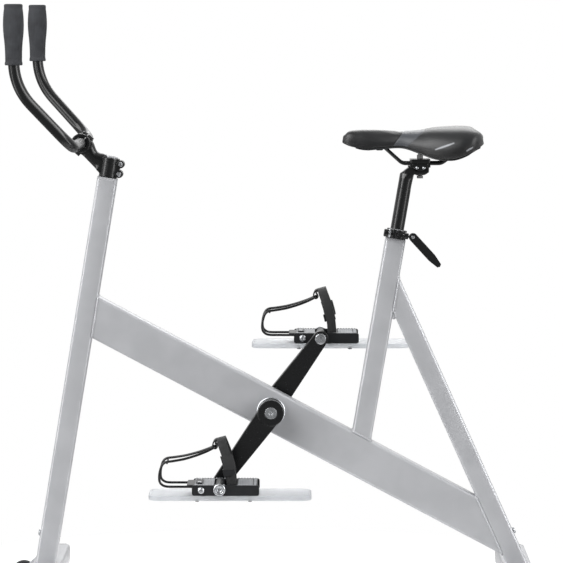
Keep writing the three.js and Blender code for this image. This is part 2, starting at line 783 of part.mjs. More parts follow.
// Strap over the foot: an arch that stands on the pedal's strap bar and leans forwards
const archHalfShares = [1, 1, 0.97, 0.78, 0.38, 0];
const archRiseShares = [0, 0.35, 0.66, 0.88, 0.98, 1];
function footStrap() {
  const rise = (strapTop - pedalTop) / Math.cos(radians(strapLean));
  const half = archHalfShares.map((share, i) => (
    new THREE.Vector2(strapHalf * share, rise * archRiseShares[i])));
  const back = half.slice(0, -1).reverse().map((p) => new THREE.Vector2(-p.x, p.y));
  const arch = stripOutline(new THREE.SplineCurve(half.concat(back)), strapThickness, strapSteps);
  const band = new THREE.ExtrudeGeometry(arch, { depth: strapWidth, steps: 1, bevelEnabled: false });
  band.translate(0, 0, -strapWidth / 2).rotateX(Math.PI / 2).rotateZ(Math.PI / 2);
  band.rotateY(radians(-strapLean)).translate(strapBack, 0, pedalTop);
  return carve(band, [], [beyond(point(0, pedalTop + weldGap), point(0, -1))]);
}

// Buckle: a frame round the strap, on its outer leg
function strapBuckle(side) {
  const lean = radians(strapLean);
  const up = point(-Math.sin(lean), Math.cos(lean));
  const middle = ahead(point(strapBack, pedalTop), up, buckleUp);
  middle.y = side * strapHalf;
  const wide = strapWidth + 2 * (fitGap + buckleWall);
  const thick = strapThickness + 2 * (fitGap + buckleWall);
  const frame = slab(middle, wide, thick, buckleHeight, -strapLean);
  const slot = slab(middle, strapWidth + 2 * fitGap, strapThickness + 2 * fitGap, cutReach, -strapLean);
  return carve(frame, [], [slot]);
}

for (const [hand, side] of [['left', -1], ['right', 1]]) {
  const pedal = new THREE.Group();
  const swing = radians(crankAngle);
  pedal.position.set(side * crankLength * Math.sin(swing), side * (pedalInner + pedalHalf),
    crankHeight + side * crankLength * Math.cos(swing));
  bike.add(pedal);
  addPiece(pedal, `${hand}_pedal_body`, pedalBody(), 'plastic');
  addPiece(pedal, `${hand}_paddle`, paddle(), 'clear');
  addPiece(pedal, `${hand}_toe_cage`, toeCage(), 'blackAlloy');
  addPiece(pedal, `${hand}_strap`, footStrap(), 'webbing');
  addPiece(pedal, `${hand}_buckle`, strapBuckle(side), 'plastic');
}

// Steerer: a tube with a square plate that closes the front post's top
const flangeGap = ahead(postTop, postAxis, weldGap);
function closingPlate(base, axis, lean) {
  const middle = ahead(base, axis, flangeThickness / 2);
  return slab(middle, tubeSide, tubeSide, flangeThickness, lean);
}

function steererTube() {
  const foot = ahead(postTop, postAxis, -steererDepth);
  const top = ahead(postTop, postAxis, steererRise);
  const hollow = [ahead(foot, postAxis, -cutReach), ahead(top, postAxis, cutReach)];
  const bore = rod(steererRadius - steererWall, ...hollow);
  return carve(rod(steererRadius, foot, top), [closingPlate(flangeGap, postAxis, postLean)], [bore]);
}

// Stem: a split clamp on the steerer, an arm, and the rear half of the bar's clamp
const clampFoot = ahead(postTop, postAxis, 2 * weldGap + flangeThickness);
const stemMiddle = ahead(clampFoot, postAxis, stemClampHeight / 2);
const barCentre = point(stemMiddle.x - barAhead, stemMiddle.z + barRise);
const armAxis = barCentre.clone().sub(stemMiddle).normalize();
const armSide = point(-armAxis.z, armAxis.x);
const earMiddle = ahead(stemMiddle, postBack, stemEarBack);
const earPlaces = [-1, 1].map((side) => ahead(earMiddle, postAxis, side * stemEarHalf));
const lugPlaces = [-1, 1].map((side) => ahead(barCentre, armSide, side * barBoltOff));

function stem() {
  const clampEnd = ahead(clampFoot, postAxis, stemClampHeight);
  const body = rod(stemClampRadius, clampFoot, clampEnd);
  const corner = (base, along, across) => ahead(ahead(base, postAxis, along), armSide, across);
  const arm = sidePlate(polygon([
    ahead(clampFoot, postBack, -stemClampRadius / 2), ahead(clampFoot, postBack, stemClampRadius / 2),
    ahead(clampEnd, postBack, stemClampRadius / 2), corner(barCentre, 0, -barClampRadius + barLug / 2),
    corner(barCentre, 0, barClampRadius - barLug / 2)]), stemWidth, 0);
  const ears = earPlaces.map((place) => crossRod(stemEarRadius, place, stemEarWidth, roundSides / 2 + 2));
  const webHeight = 2 * stemEarHalf;
  const webMiddle = ahead(stemMiddle, postBack, stemEarBack / 2);
  const web = slab(webMiddle, stemEarBack, stemEarWidth, webHeight, postLean);
  const lugs = lugPlaces.map((place) => (
    rod(barLug, ahead(place, armAxis, -barLug * 2), ahead(place, armAxis, barLug))));
  const barSeat = crossRod(barClampRadius, barCentre, barClampWidth);
  const split = ahead(barCentre, armAxis, -faceplateSplit / 2);
  return carve(body, [arm, ...ears, web, barSeat, ...lugs], [
    beyond(split, armAxis),
    crossRod(barRadius + fitGap, barCentre, cutReach),
    rod(steererRadius + fitGap, ahead(clampFoot, postAxis, -cutReach),
      ahead(clampEnd, postAxis, cutReach)),
    slab(ahead(stemMiddle, postBack, cutReach / 2), cutReach, stemSlot, cutReach, postLean),
    ...earPlaces.map((place) => crossRod(smallBoltRadius + fitGap, place, cutReach, smallSides)),
    ...lugPlaces.map((place) => rod(smallBoltRadius + fitGap, ahead(place, armAxis, -cutReach),
      ahead(place, armAxis, cutReach), smallSides)),
  ]);
}

function stemFaceplate() {
  const split = ahead(barCentre, armAxis, faceplateSplit / 2);
  const lugs = lugPlaces.map((place) => rod(barLug, place, ahead(place, armAxis, barLug)));
  return carve(crossRod(barClampRadius, barCentre, barClampWidth), lugs, [
    beyond(split, armAxis.clone().negate()),
    crossRod(barRadius + fitGap, barCentre, cutReach),
    ...lugPlaces.map((place) => (
      rod(smallBoltRadius + fitGap, place, ahead(place, armAxis, cutReach), smallSides))),
    ...lugPlaces.map((place) => rod(smallHeadRadius + 2 * fitGap, ahead(place, armAxis, barLug),
      ahead(place, armAxis, barClampRadius * 2), headSides)),
  ]);
}

addPiece(bike, 'steerer_tube', steererTube(), 'paint');
addPiece(bike, 'stem', stem(), 'blackAlloy');
addPiece(bike, 'stem_faceplate', stemFaceplate(), 'blackAlloy');
['lower', 'upper'].forEach((name, i) => {
  const earFace = earPlaces[i].clone().setY(-stemEarWidth / 2);
  const pinch = buttonBolt(earFace, new THREE.Vector3(0, -1, 0), smallBoltRadius, smallHeadRadius,
    smallHead, stemEarWidth - smallHead);
  addPiece(bike, `stem_pinch_bolt_${name}`, pinch, 'steel');
});
['upper', 'lower'].forEach((name, i) => {
  const face = ahead(lugPlaces[i], armAxis, barLug);
  const plateBolt = buttonBolt(face, armAxis, smallBoltRadius, smallHeadRadius, smallHead, barLug * 2);
  addPiece(bike, `faceplate_bolt_${name}`, plateBolt, 'blackAlloy');
});

// Handlebar: one bent tube, with a grip on each upright horn
const hornX = barCentre.x - hornAhead;
const gripFoot = gripTopRise - gripLength;
function handlebar() {
  const top = barCentre.z + gripTopRise - gripEnd - fitGap;
  const half = [point(hornX, top, barSpread), point(hornX, barCentre.z + hornRise, barSpread),
    point(barCentre.x, barCentre.z, barHalf)];
  const mirrored = half.slice().reverse().map((p) => point(p.x, p.z, -p.y));
  const path = roundedPath(half.concat(mirrored), [hornBend, elbowRadius, elbowRadius, hornBend]);
  const section = ring(barRadius, barSides);
  section.holes.push(ring(barRadius - barWall, wireSides));
  return new THREE.ExtrudeGeometry(section, { steps: barSteps, extrudePath: path });
}

const gripRadiusShares = [0.79, 0.82, 0.84, 0.86, 0.95, 1.0, 1.02, 1.0, 0.95, 0.88, 0.84, 0.7];
const gripHeightShares = [0.02, 0.1, 0.2, 0.3, 0.42, 0.55, 0.68, 0.8, 0.89, 0.95, 0.985, 1];
function grip(side) {
  const bore = barRadius + fitGap * 2;
  const flangeRadius = barRadius + gripWall + gripFlange;
  const outer = gripRadiusShares.map((share, i) => [gripRadius * share, gripLength * gripHeightShares[i]]);
  const profile = [[bore, 0], [flangeRadius, 0], [flangeRadius, gripFlange], ...outer, [0, gripLength],
    [0, gripLength - gripEnd], [bore, gripLength - gripEnd], [bore, 0]];
  return turned(profile, gripSides).translate(hornX, side * barSpread, barCentre.z + gripFoot);
}

addPiece(bike, 'handlebar', handlebar(), 'blackAlloy');
addPiece(bike, 'left_grip', grip(-1), 'grip');
addPiece(bike, 'right_grip', grip(1), 'grip');

// Sleeve that guides the seatpost: its square plate closes the seat tube's top
const seatFlange = ahead(seatTop, seatAxis, weldGap);
function seatSleeve() {
  const foot = ahead(seatTop, seatAxis, -sleeveDepth);
  const top = ahead(seatTop, seatAxis, sleeveRise);
  const hollow = [ahead(foot, seatAxis, -cutReach), ahead(top, seatAxis, cutReach)];
  const bore = rod(postTubeRadius + fitGap, ...hollow);
  return carve(rod(sleeveRadius, foot, top), [closingPlate(seatFlange, seatAxis, seatLean)], [bore]);
}

// Quick-release collar round the sleeve, split on the left where its skewer passes
const collarFoot = ahead(seatFlange, seatAxis, flangeThickness + weldGap);
const collarMiddle = ahead(collarFoot, seatAxis, collarHeight / 2);
const skewerPoint = (back) => {
  const place = ahead(collarMiddle, seatBack, back);
  place.y = -collarOff;
  return place;
};
const collarOuter = sleeveRadius + fitGap + collarWall;

function seatCollar() {
  const top = ahead(collarFoot, seatAxis, collarHeight);
  const inner = collarOuter - collarWall / 2;
  const outer = collarOff + collarEar;
  const middle = skewerPoint(0).setY(-(inner + outer) / 2);
  const ears = slab(middle, 2 * collarEar + collarSlot, outer - inner, collarHeight, seatLean);
  return carve(rod(collarOuter, collarFoot, top), [ears], [
    rod(sleeveRadius + fitGap, ahead(collarFoot, seatAxis, -cutReach), ahead(top, seatAxis, cutReach)),
    slab(skewerPoint(0).setY(-cutReach / 2), collarSlot, cutReach, cutReach, seatLean),
    rod(skewerRadius + fitGap, skewerPoint(-cutReach), skewerPoint(cutReach), smallSides),
  ]);
}

// Skewer: a rod through the ears with a round nut in front and an eye behind
const leverPivot = skewerPoint(leverBack);
function collarSkewer() {
  const shaftEnd = skewerPoint(leverBack - leverHub / 2);
  const shaft = rod(skewerRadius, skewerPoint(-skewerFront), shaftEnd, smallSides);
  const nutBack = -collarEar - collarSlot / 2 - weldGap;
  const nut = rod(skewerNutRadius, skewerPoint(nutBack - skewerNut), skewerPoint(nutBack), roundSides);
  const seatPlate = collarEar + collarSlot / 2 + weldGap;
  const washer = rod(skewerNutRadius, skewerPoint(seatPlate), skewerPoint(seatPlate + skewerWasher));
  const eye = crossRod(leverHub / 2 + skewerRadius / 2, leverPivot, 2 * skewerRadius);
  const pinHole = crossRod(skewerRadius + fitGap, leverPivot, cutReach, smallSides);
  return carve(shaft, [nut, washer, eye], [pinHole]);
}

// Lever: a fork round the skewer's eye with its pin, and a flat tapered handle.
// Its edge: distances along the handle and off its middle line
const leverEdge = [[0, leverHub], [leverWaist, leverWidth / 2], [leverShoulder, leverWidth / 2],
  [leverLength - leverTip / 4, leverTip / 2]];
function collarLever() {
  const down = point(Math.cos(radians(leverDroop)), -Math.sin(radians(leverDroop)));
  const across = point(down.z, -down.x);
  const rim = (along, off) => ahead(ahead(leverPivot, down, along), across, off);
  const hubDisc = crossRod(leverHub, leverPivot, leverThickness);
  const lowerEdge = leverEdge.map(([along, off]) => rim(along, -off));
  const upperEdge = leverEdge.slice().reverse().map(([along, off]) => rim(along, off));
  const outline = polygon([...lowerEdge, rim(leverLength, 0), ...upperEdge]);
  const handle = sidePlate(outline, leverThickness, leverPivot.y);
  const mouth = slab(leverPivot, leverMouth, 2 * skewerRadius + 2 * fitGap, leverMouth);
  const pin = crossRod(skewerRadius, leverPivot, leverThickness, smallSides);
  return carve(toGeometry(toSolid(handle).add(toSolid(hubDisc)).subtract(toSolid(mouth))), [pin], []);
}

addPiece(bike, 'seat_sleeve', seatSleeve(), 'paint');
addPiece(bike, 'seat_collar', seatCollar(), 'blackAlloy');
addPiece(bike, 'collar_skewer', collarSkewer(), 'steel');
addPiece(bike, 'collar_lever', collarLever(), 'blackAlloy');

// Seatpost: a tube whose offset head is a cradle, round about the tilt axis, for the saddle clamp
const clampMiddle = point(seatTop.x + clampBack, seatTop.z + clampRise);
const atClamp = (back, up, side = 0) => point(clampMiddle.x + back, clampMiddle.z + up, side);
const sweepRoom = clampBoltRadius + fitGap + headRadius * Math.sin(radians(clampTilt));

function seatpost() {
  const top = ahead(seatTop, seatAxis, seatpostOut);
  const foot = ahead(top, seatAxis, -seatpostLength);
  const neckFoot = ahead(top, seatAxis, -postTubeRadius);
  const headBottom = headRadius - headSink;
  const neck = sidePlate(polygon([
    ahead(neckFoot, seatBack, -postTubeRadius), ahead(neckFoot, seatBack, neckHalf),
    atClamp(-sweepRoom - clampBoltRadius, -headBottom), atClamp(0, -neckReach),
    atClamp(-neckReach, -clampTop), ahead(ahead(top, seatAxis, neckRise), seatBack, -postTubeRadius),
  ]), headWidth, 0);
  const head = crossRod(headRadius, clampMiddle, headWidth);
  return carve(rod(postTubeRadius, foot, top), [neck, head], [
    rod(postTubeRadius - barWall, ahead(foot, seatAxis, -cutReach),
      ahead(top, seatAxis, -2 * postTubeRadius)),
    crossRod(cradleRadius + fitGap, clampMiddle, cutReach, cradleSides),
    beyond(atClamp(0, -headLip), point(0, 1)),
    beyond(atClamp(headBack, 0), point(1, 0)),
    slab(atClamp(0, -headRadius), 2 * sweepRoom, 2 * (clampBoltRadius + fitGap), 2 * headRadius),
  ]);
}

// Grooves for the two rails and the hole of the clamp bolt
function clampCuts() {
  const grooves = [-1, 1].map((side) => rod(railRadius + fitGap, atClamp(-cutReach, 0, side * railHalf),
    atClamp(cutReach, 0, side * railHalf)));
  const hole = rod(clampBoltRadius + fitGap, atClamp(0, -cutReach), atClamp(0, cutReach), smallSides);
  return [...grooves, hole];
}

function clampLower() {
  const round = crossRod(cradleRadius, clampMiddle, clampWidth, cradleSides);
  const wing = (clampWidth - headWidth) / 2 - 2 * fitGap;
  const wings = [-1, 1].map((side) => slab(atClamp(0, -clampTop / 2, side * (clampWidth - wing) / 2),
    2 * clampHalf, wing, clampTop));
  return carve(round, wings, [beyond(atClamp(0, -fitGap), point(0, 1)), ...clampCuts()]);
}

function clampUpper() {
  const outline = roundedRect(2 * clampHalf, clampWidth, plateCorner);
  const plate = new THREE.ExtrudeGeometry(outline, { depth: clampTop, steps: 1, bevelEnabled: false });
  plate.translate(clampMiddle.x, 0, clampMiddle.z + fitGap);
  return carve(plate, [], clampCuts());
}

function clampBolt() {
  const headTop = -headRadius - 2 * fitGap;
  const nutFoot = clampTop + 2 * fitGap;
  const nutTop = nutFoot + clampNutHeight;
  const shank = rod(clampBoltRadius, atClamp(0, headTop - clampBoltHeadHeight / 2),
    atClamp(0, nutTop + clampBoltRadius), smallSides);
  const head = rod(clampBoltHead, atClamp(0, headTop - clampBoltHeadHeight), atClamp(0, headTop), hexSides);
  const nut = rod(clampBoltHead, atClamp(0, nutFoot), atClamp(0, nutTop), hexSides);
  return carve(shank, [head, nut], []);
}

addPiece(bike, 'seatpost', seatpost(), 'blackAlloy');
addPiece(bike, 'saddle_clamp_lower', clampLower(), 'blackAlloy');
addPiece(bike, 'saddle_clamp_upper', clampUpper(), 'blackAlloy');
addPiece(bike, 'saddle_clamp_bolt', clampBolt(), 'steel');

// Rails: one wire, from a tail end along a straight part, up to the nose, across and back
function saddleRails() {
  const half = [atClamp(railTailBehind, railTailRise, railTailHalf),
    atClamp(railTailBehind - 2 * railBend, railTailRise, railTailHalf), atClamp(railBehind, 0, railHalf),
    atClamp(-railAhead, 0, railHalf), atClamp(-railNoseAhead, railNoseRise, railNoseHalf)];
  const mirrored = half.slice().reverse().map((p) => point(p.x, p.z, -p.y));
  const bends = [railBend, railBend, railBend, railBend];
  const path = roundedPath(half.concat(mirrored), bends.concat(bends.slice().reverse()));
  return new THREE.ExtrudeGeometry(ring(railRadius, wireSides), { steps: railSteps, extrudePath: path });
}

// Saddle forms, from tables along its length: half width, crown and lower edge
const saddleStationShares = [0, 0.037, 0.12, 0.271, 0.435, 0.547, 0.635, 0.715, 0.785, 0.862, 0.936,
  0.978, 1];
const saddleHalfWidthShares = [0.09, 0.2, 0.26, 0.29, 0.41, 0.59, 0.77, 0.9, 0.975, 1, 0.9, 0.66, 0.4];
const saddleCrownShares = [0.62, 0.79, 0.88, 0.88, 0.85, 0.88, 0.955, 0.985, 1, 1, 0.925, 0.8, 0.66];
const saddleEdgeShares = [0.53, 0.44, 0.32, 0.35, 0.38, 0.21, 0.06, 0.008, 0.02, 0.14, 0.33, 0.44, 0.55];
const crownWidthShares = [0, 0.3, 0.58, 0.8, 0.94, 1, 0.985, 0.92];
const crownHeightShares = [1, 0.985, 0.93, 0.82, 0.62, 0.38, 0.16, 0];
const hollowWidthShares = [0.82, 0.6, 0.3, 0];
const hollowHeightShares = [0.06, 0.24, 0.38, 0.42];

const saddleNose = clampMiddle.x - saddleAhead;
const saddleFloor = clampMiddle.z + saddleRise;
const saddleForm = new THREE.CatmullRomCurve3(saddleStationShares.map((share, i) => new THREE.Vector3(
  share, saddleHalfWidthShares[i], saddleCrownShares[i])));
const saddleEdge = new THREE.CatmullRomCurve3(saddleStationShares.map((share, i) => new THREE.Vector3(
  share, saddleEdgeShares[i], 0)));

// One place along the saddle: x, half width, lower edge and crown height
function saddleStation(u) {
  const form = saddleForm.getPoint(u);
  const edge = saddleFloor + saddleDepth * saddleEdge.getPoint(u).y;
  const crown = saddleFloor + saddleDepth * form.z;
  return { x: saddleNose + saddleLength * form.x, half: (saddleWidth / 2) * form.y, edge, crown };
}

const inSection = (at, wide, high) => (
  new THREE.Vector3(at.x, at.half * wide, at.edge + (at.crown - at.edge) * high));

// Closed skin over rings that all have the same number of points
function loft(rings) {
  const count = rings[0].length;
  const vertices = rings.flat();
  const faces = [];
  for (let i = 0; i + 1 < rings.length; i += 1) {
    for (let j = 0; j < count; j += 1) {
      const a = i * count + j;
      const b = i * count + ((j + 1) % count);
      const [c, d] = [a + count, b + count];
      const acrossFirst = vertices[a].distanceTo(vertices[d]) < vertices[b].distanceTo(vertices[c]);
      faces.push(...(acrossFirst ? [b, a, d, a, c, d] : [b, a, c, d, b, c]));
    }
  }
  // Flat ends: each end ring's outline, cut into triangles that turn towards +X
  const endFaces = (outline) => THREE.ShapeUtils.triangulateShape(
    outline.map((p) => new THREE.Vector2(p.y, p.z)), []);
  const last = vertices.length - count;
  endFaces(rings[0]).forEach((corners) => faces.push(...corners.reverse()));
  endFaces(rings.at(-1)).forEach((corners) => faces.push(...corners.map((corner) => last + corner)));
  const geometry = new THREE.BufferGeometry().setFromPoints(vertices);
  return geometry.setIndex(faces);
}

function saddleCover() {
  const rings = [];
  for (let i = 0; i <= saddleSteps; i += 1) {
    const at = saddleStation(i / saddleSteps);
    const half = crownWidthShares.map((wide, k) => inSection(at, wide, crownHeightShares[k]))
      .concat(hollowWidthShares.map((wide, k) => inSection(at, wide, hollowHeightShares[k])));
    const other = half.slice(1, -1).reverse().map((p) => new THREE.Vector3(p.x, -p.y, p.z));
    rings.push(half.concat(other));
  }
  return loft(rings);
}

// Base shell: follows the cover's hollow a little below it, with sockets that hold the rails
const baseFirst = 3;
const baseLast = 3;
function saddleBase() {
  const rings = [];
  for (let i = baseFirst; i <= saddleSteps - baseLast; i += 1) {
    const at = saddleStation(i / saddleSteps);
    const upper = hollowWidthShares.map((wide, k) => inSection(at, wide, hollowHeightShares[k])
      .setZ(inSection(at, wide, hollowHeightShares[k]).z - foamGap));
    const across = upper.concat(upper.slice(0, -1).reverse().map((p) => new THREE.Vector3(p.x, -p.y, p.z)));
    const lower = across.slice().reverse().map((p) => new THREE.Vector3(p.x, p.y, p.z - basePlate));
    rings.push(across.concat(lower).reverse());
  }
  const tailSocket = [-1, 1].map((side) => slab(atClamp(railTailBehind + fitGap + socketSize / 2,
    railTailRise + socketLift, side * railTailHalf), socketSize, socketSize, socketSize));
  const noseSocket = slab(atClamp(-railNoseAhead - railRadius - 2 * fitGap - socketSize / 2,
    railNoseRise + socketLift), socketSize, socketSize, socketSize);
  return carve(loft(rings), [...tailSocket, noseSocket], []);
}

const saddle = new THREE.Group();
bike.add(saddle);
addPiece(saddle, 'saddle_rails', saddleRails(), 'blackAlloy');
addPiece(saddle, 'saddle_base', saddleBase(), 'plastic');
addPiece(saddle, 'saddle_cover', saddleCover(), 'vinyl');

// The origin is the middle of the whole bike's box, on the floor
bike.updateMatrixWorld(true);
const box = new THREE.Box3().setFromObject(bike, true);
bike.position.x = -(box.min.x + box.max.x) / 2;

export default bike;
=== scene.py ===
# Aqua bike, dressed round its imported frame. Metres, +Z up, handlebar towards -X.
import json
import math

import bmesh
import bpy
import numpy as np
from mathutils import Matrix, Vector


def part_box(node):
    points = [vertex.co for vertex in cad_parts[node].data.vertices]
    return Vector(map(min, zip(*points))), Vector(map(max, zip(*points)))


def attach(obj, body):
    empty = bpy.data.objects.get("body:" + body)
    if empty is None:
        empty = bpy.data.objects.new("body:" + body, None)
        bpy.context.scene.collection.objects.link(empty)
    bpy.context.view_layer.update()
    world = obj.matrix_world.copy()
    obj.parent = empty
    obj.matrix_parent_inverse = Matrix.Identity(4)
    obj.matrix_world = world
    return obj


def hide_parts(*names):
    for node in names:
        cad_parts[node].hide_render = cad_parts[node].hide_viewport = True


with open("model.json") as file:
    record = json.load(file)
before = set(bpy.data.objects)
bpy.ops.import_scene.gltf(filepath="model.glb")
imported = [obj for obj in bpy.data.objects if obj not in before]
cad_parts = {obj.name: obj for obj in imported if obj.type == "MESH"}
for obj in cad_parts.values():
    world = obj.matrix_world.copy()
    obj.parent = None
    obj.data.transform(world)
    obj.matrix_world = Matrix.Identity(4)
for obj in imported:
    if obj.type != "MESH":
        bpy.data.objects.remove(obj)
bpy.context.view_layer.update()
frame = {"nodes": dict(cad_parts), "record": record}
nodes = frame["nodes"]
bodyOf = {n: b for b, members in frame["record"]["behaviour"]["bodies"].items() for n in members}
scene = bpy.context.scene
mm = 0.001


def say(text):
    print(f"scene: {text}")


# Camera and stage

cameraSet = {
    "eye": (0.0629, -6.5, 1.185),     # far off and level with the grips, as a long lens sees it
    "target": (0.0259, 0.0, 0.651),
    "lens": 207.8,
    "sensor": 36.0,
    "sight": 60.0,
}


def linked(name, data):
    thing = bpy.data.objects.new(name, data)
    scene.collection.objects.link(thing)
    return thing


def aimed(name, data, place, target):
    """An object that stands at a place and looks at a target."""
    thing = linked(name, data)
    thing.location = place
    thing.rotation_euler = (Vector(target) - Vector(place)).to_track_quat("-Z", "Y").to_euler()
    return thing


def makeCamera(size):
    data = bpy.data.cameras.new("camera")
    data.lens, data.sensor_width, data.clip_end = size["lens"], size["sensor"], size["sight"]
    scene.camera = aimed("camera", data, size["eye"], size["target"])


def linear(hexColour):
    """Linear RGBA of an sRGB hex value."""
    parts = [int(hexColour[i:i + 2], 16) / 255 for i in (1, 3, 5)]
    return tuple(p / 12.92 if p <= 0.04045 else ((p + 0.055) / 1.055) ** 2.4 for p in parts) + (1.0,)


def feed(tree, node, inputs):
    """Puts numbers, hex colours or other nodes' sockets into a node's inputs."""
    for key, value in inputs.items():
        if isinstance(value, bpy.types.NodeSocket):
            tree.links.new(value, node.inputs[key])
        else:
            node.inputs[key].default_value = linear(value) if isinstance(value, str) else value


def addNode(tree, kind, inputs=None, **settings):
    """One shader node, with its inputs by name or number and its settings by attribute."""
    node = tree.nodes.new(kind)
    for key, value in settings.items():
        setattr(node, key, value)
    feed(tree, node, inputs or {})
    return node


def reckon(tree, operation, *values):
    """A math node's result on numbers or sockets."""
    return addNode(tree, "ShaderNodeMath", dict(enumerate(values)), operation=operation).outputs[0]


def ranged(tree, value, low, high, start=0.0, end=1.0, **settings):
    """Low where the value is at the start of its range, high at the end."""
    return addNode(tree, "ShaderNodeMapRange", {"Value": value, "From Min": start, "From Max": end,
                                                "To Min": low, "To Max": high}, **settings).outputs[0]


stageSet = {
    # each lamp's power, place and width
    "lamps": {"key": (120.0, (-2.2, -2.3, 2.5), 2.6), "fill": (70.0, (3.6, -3.0, 2.2), 3.5),
              "back": (90.0, (0.6, 3.6, 3.6), 3.0)},
    "lampAim": (0.0, 0.0, 0.6),
    "floorHalf": 40.0,
    "floorZ": -0.0005,
    "floorColour": "#F4F4F4",
    "fadeFrom": 0.42,
    "fadeTo": 0.95,
    "floorMirrored": 0.4,
    "skyLight": 0.85,
    "roomLight": 0.16,
    "roomFrom": -0.85,
    "roomTo": -0.25,
    "panelAt": 0.84,
    "panelHalf": 0.05,
    "panelFade": 0.03,
    "panelLight": 6.0,
    "floorPanel": 4.0,
}


def panelGlow(tree, direction, light, size):
    """Two tall bright panels ahead of the bike, left and right, that streak down round tubes."""
    apart = addNode(tree, "ShaderNodeSeparateXYZ", {0: direction}).outputs
    off = reckon(tree, "ABSOLUTE", reckon(tree, "SUBTRACT", reckon(tree, "ABSOLUTE", apart["X"]), size["panelAt"]))
    panel = ranged(tree, off, light, 0.0, size["panelHalf"], size["panelHalf"] + size["panelFade"])
    return reckon(tree, "MULTIPLY", panel, reckon(tree, "LESS_THAN", apart["Y"], 0.0))


def rays(tree):
    """The light path's outputs, and 1 for what the camera sees directly or through the blades."""
    path = addNode(tree, "ShaderNodeLightPath").outputs
    return path, reckon(tree, "MAXIMUM", path["Is Camera Ray"], path["Is Transmission Ray"])


def makeFloor(size):
    """White paper that takes shadows close to the bike and fades into the white round it."""
    half = size["floorHalf"]
    mesh = bpy.data.meshes.new("floor")
    corners = [(x * half, y * half, size["floorZ"]) for x, y in ((-1, -1), (1, -1), (1, 1), (-1, 1))]
    mesh.from_pydata(corners, [], [(0, 1, 2, 3)])
    linked("floor", mesh)
    paper = bpy.data.materials.new("studioPaper")
    paper.use_nodes = True
    tree = paper.node_tree
    shader = tree.nodes["Principled BSDF"]
    feed(tree, shader, {"Base Color": size["floorColour"], "Roughness": 0.9})
    place = addNode(tree, "ShaderNodeTexCoord").outputs["Object"]
    far = addNode(tree, "ShaderNodeVectorMath", {0: place}, operation="LENGTH").outputs["Value"]
    fade = ranged(tree, far, 0.0, 1.0, size["fadeFrom"], size["fadeTo"], interpolation_type="SMOOTHSTEP")
    # white where the camera sees it, dimmer in what the bike mirrors
    path, seen = rays(tree)
    back = addNode(tree, "ShaderNodeNewGeometry").outputs["Incoming"]
    onward = addNode(tree, "ShaderNodeVectorMath", {0: back, "Scale": -1.0}, operation="SCALE").outputs["Vector"]
    panels = panelGlow(tree, onward, size["floorPanel"], size)
    mirrored = reckon(tree, "MULTIPLY_ADD", panels, path["Is Glossy Ray"], size["floorMirrored"])
    glow = addNode(tree, "ShaderNodeEmission", {"Strength": ranged(tree, seen, mirrored, 1.0)})
    mix = addNode(tree, "ShaderNodeMixShader", {0: fade, 1: shader.outputs[0], 2: glow.outputs[0]})
    feed(tree, tree.nodes["Material Output"], {"Surface": mix.outputs[0]})
    mesh.materials.append(paper)


def makeLamps(size):
    for name, (power, place, width) in size["lamps"].items():
        lamp = bpy.data.lights.new(name + "Lamp", "AREA")
        lamp.shape, lamp.size, lamp.energy = "SQUARE", width, power
        aimed(name + "Lamp", lamp, place, size["lampAim"])


def makeWorld(size):
    """What the bike mirrors: a dim room on the camera's side, white paper on the others."""
    world = bpy.data.worlds.new("studio")
    world.use_nodes = True
    tree = world.node_tree
    tree.nodes.clear()
    look = addNode(tree, "ShaderNodeTexCoord").outputs["Generated"]
    depth = addNode(tree, "ShaderNodeSeparateXYZ", {0: look}).outputs["Y"]
    room = ranged(tree, depth, size["roomLight"], size["skyLight"], size["roomFrom"], size["roomTo"],
                  interpolation_type="SMOOTHSTEP")
    lit = reckon(tree, "ADD", panelGlow(tree, look, size["panelLight"], size), room)
    strength = ranged(tree, rays(tree)[1], lit, 1.0)
    sky = addNode(tree, "ShaderNodeBackground", {"Color": (1, 1, 1, 1), "Strength": strength})
    addNode(tree, "ShaderNodeOutputWorld", {"Surface": sky.outputs[0]})
    scene.world = world
    scene.view_settings.view_transform = "Standard"


makeCamera(cameraSet)
makeFloor(stageSet)
makeLamps(stageSet)
makeWorld(stageSet)
say("camera, floor and lamps are up")


# Shapes: places are in millimetres in the bike's frame, and turn into metres as a mesh is made

shift = 4.883        # the frame's origin is this far ahead of the crank axis
axisGap = 0.02       # a turned piece's end face starts this far off its axis
joinWithin = 2e-6    # points of a CAD mesh that are one point, in metres
flatWithin = 0.6     # faces of a CAD mesh that are one face, in degrees


def at(x, z, y=0.0):
    """A place from the crank axis (x, towards the rear), the floor (z) and the middle plane (y)."""
    return np.array([x + shift, y, z], float)


def unit(vector):
    vector = np.asarray(vector, float)
    return vector / np.linalg.norm(vector)


def finishMesh(name, mesh, body, material, replace=(), sharpAngle=38.0, uv=None):
    """An object of a mesh: smooth shaded up to an angle, with its material, body and CAD nodes."""
    mesh.shade_smooth()
    mesh.set_sharp_from_angle(angle=math.radians(sharpAngle))
    piece = linked(name, mesh)
    mesh.materials.clear()
    mesh.materials.append(materials[material])
    if uv is not None:
        loops = np.empty(len(mesh.loops), int)
        mesh.loops.foreach_get("vertex_index", loops)
        layer = mesh.uv_layers.new(name="along")
        layer.data.foreach_set("uv", np.asarray(uv, float)[loops].ravel())
    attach(piece, body)
    if replace:
        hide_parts(*replace)
    return piece


def build(name, points, faces, body, material, replace=(), sharpAngle=38.0, uv=None):
    mesh = bpy.data.meshes.new(name)
    mesh.from_pydata((np.asarray(points, float) * mm).tolist(), [], faces)
    mesh.update()
    return finishMesh(name, mesh, body, material, replace, sharpAngle, uv)


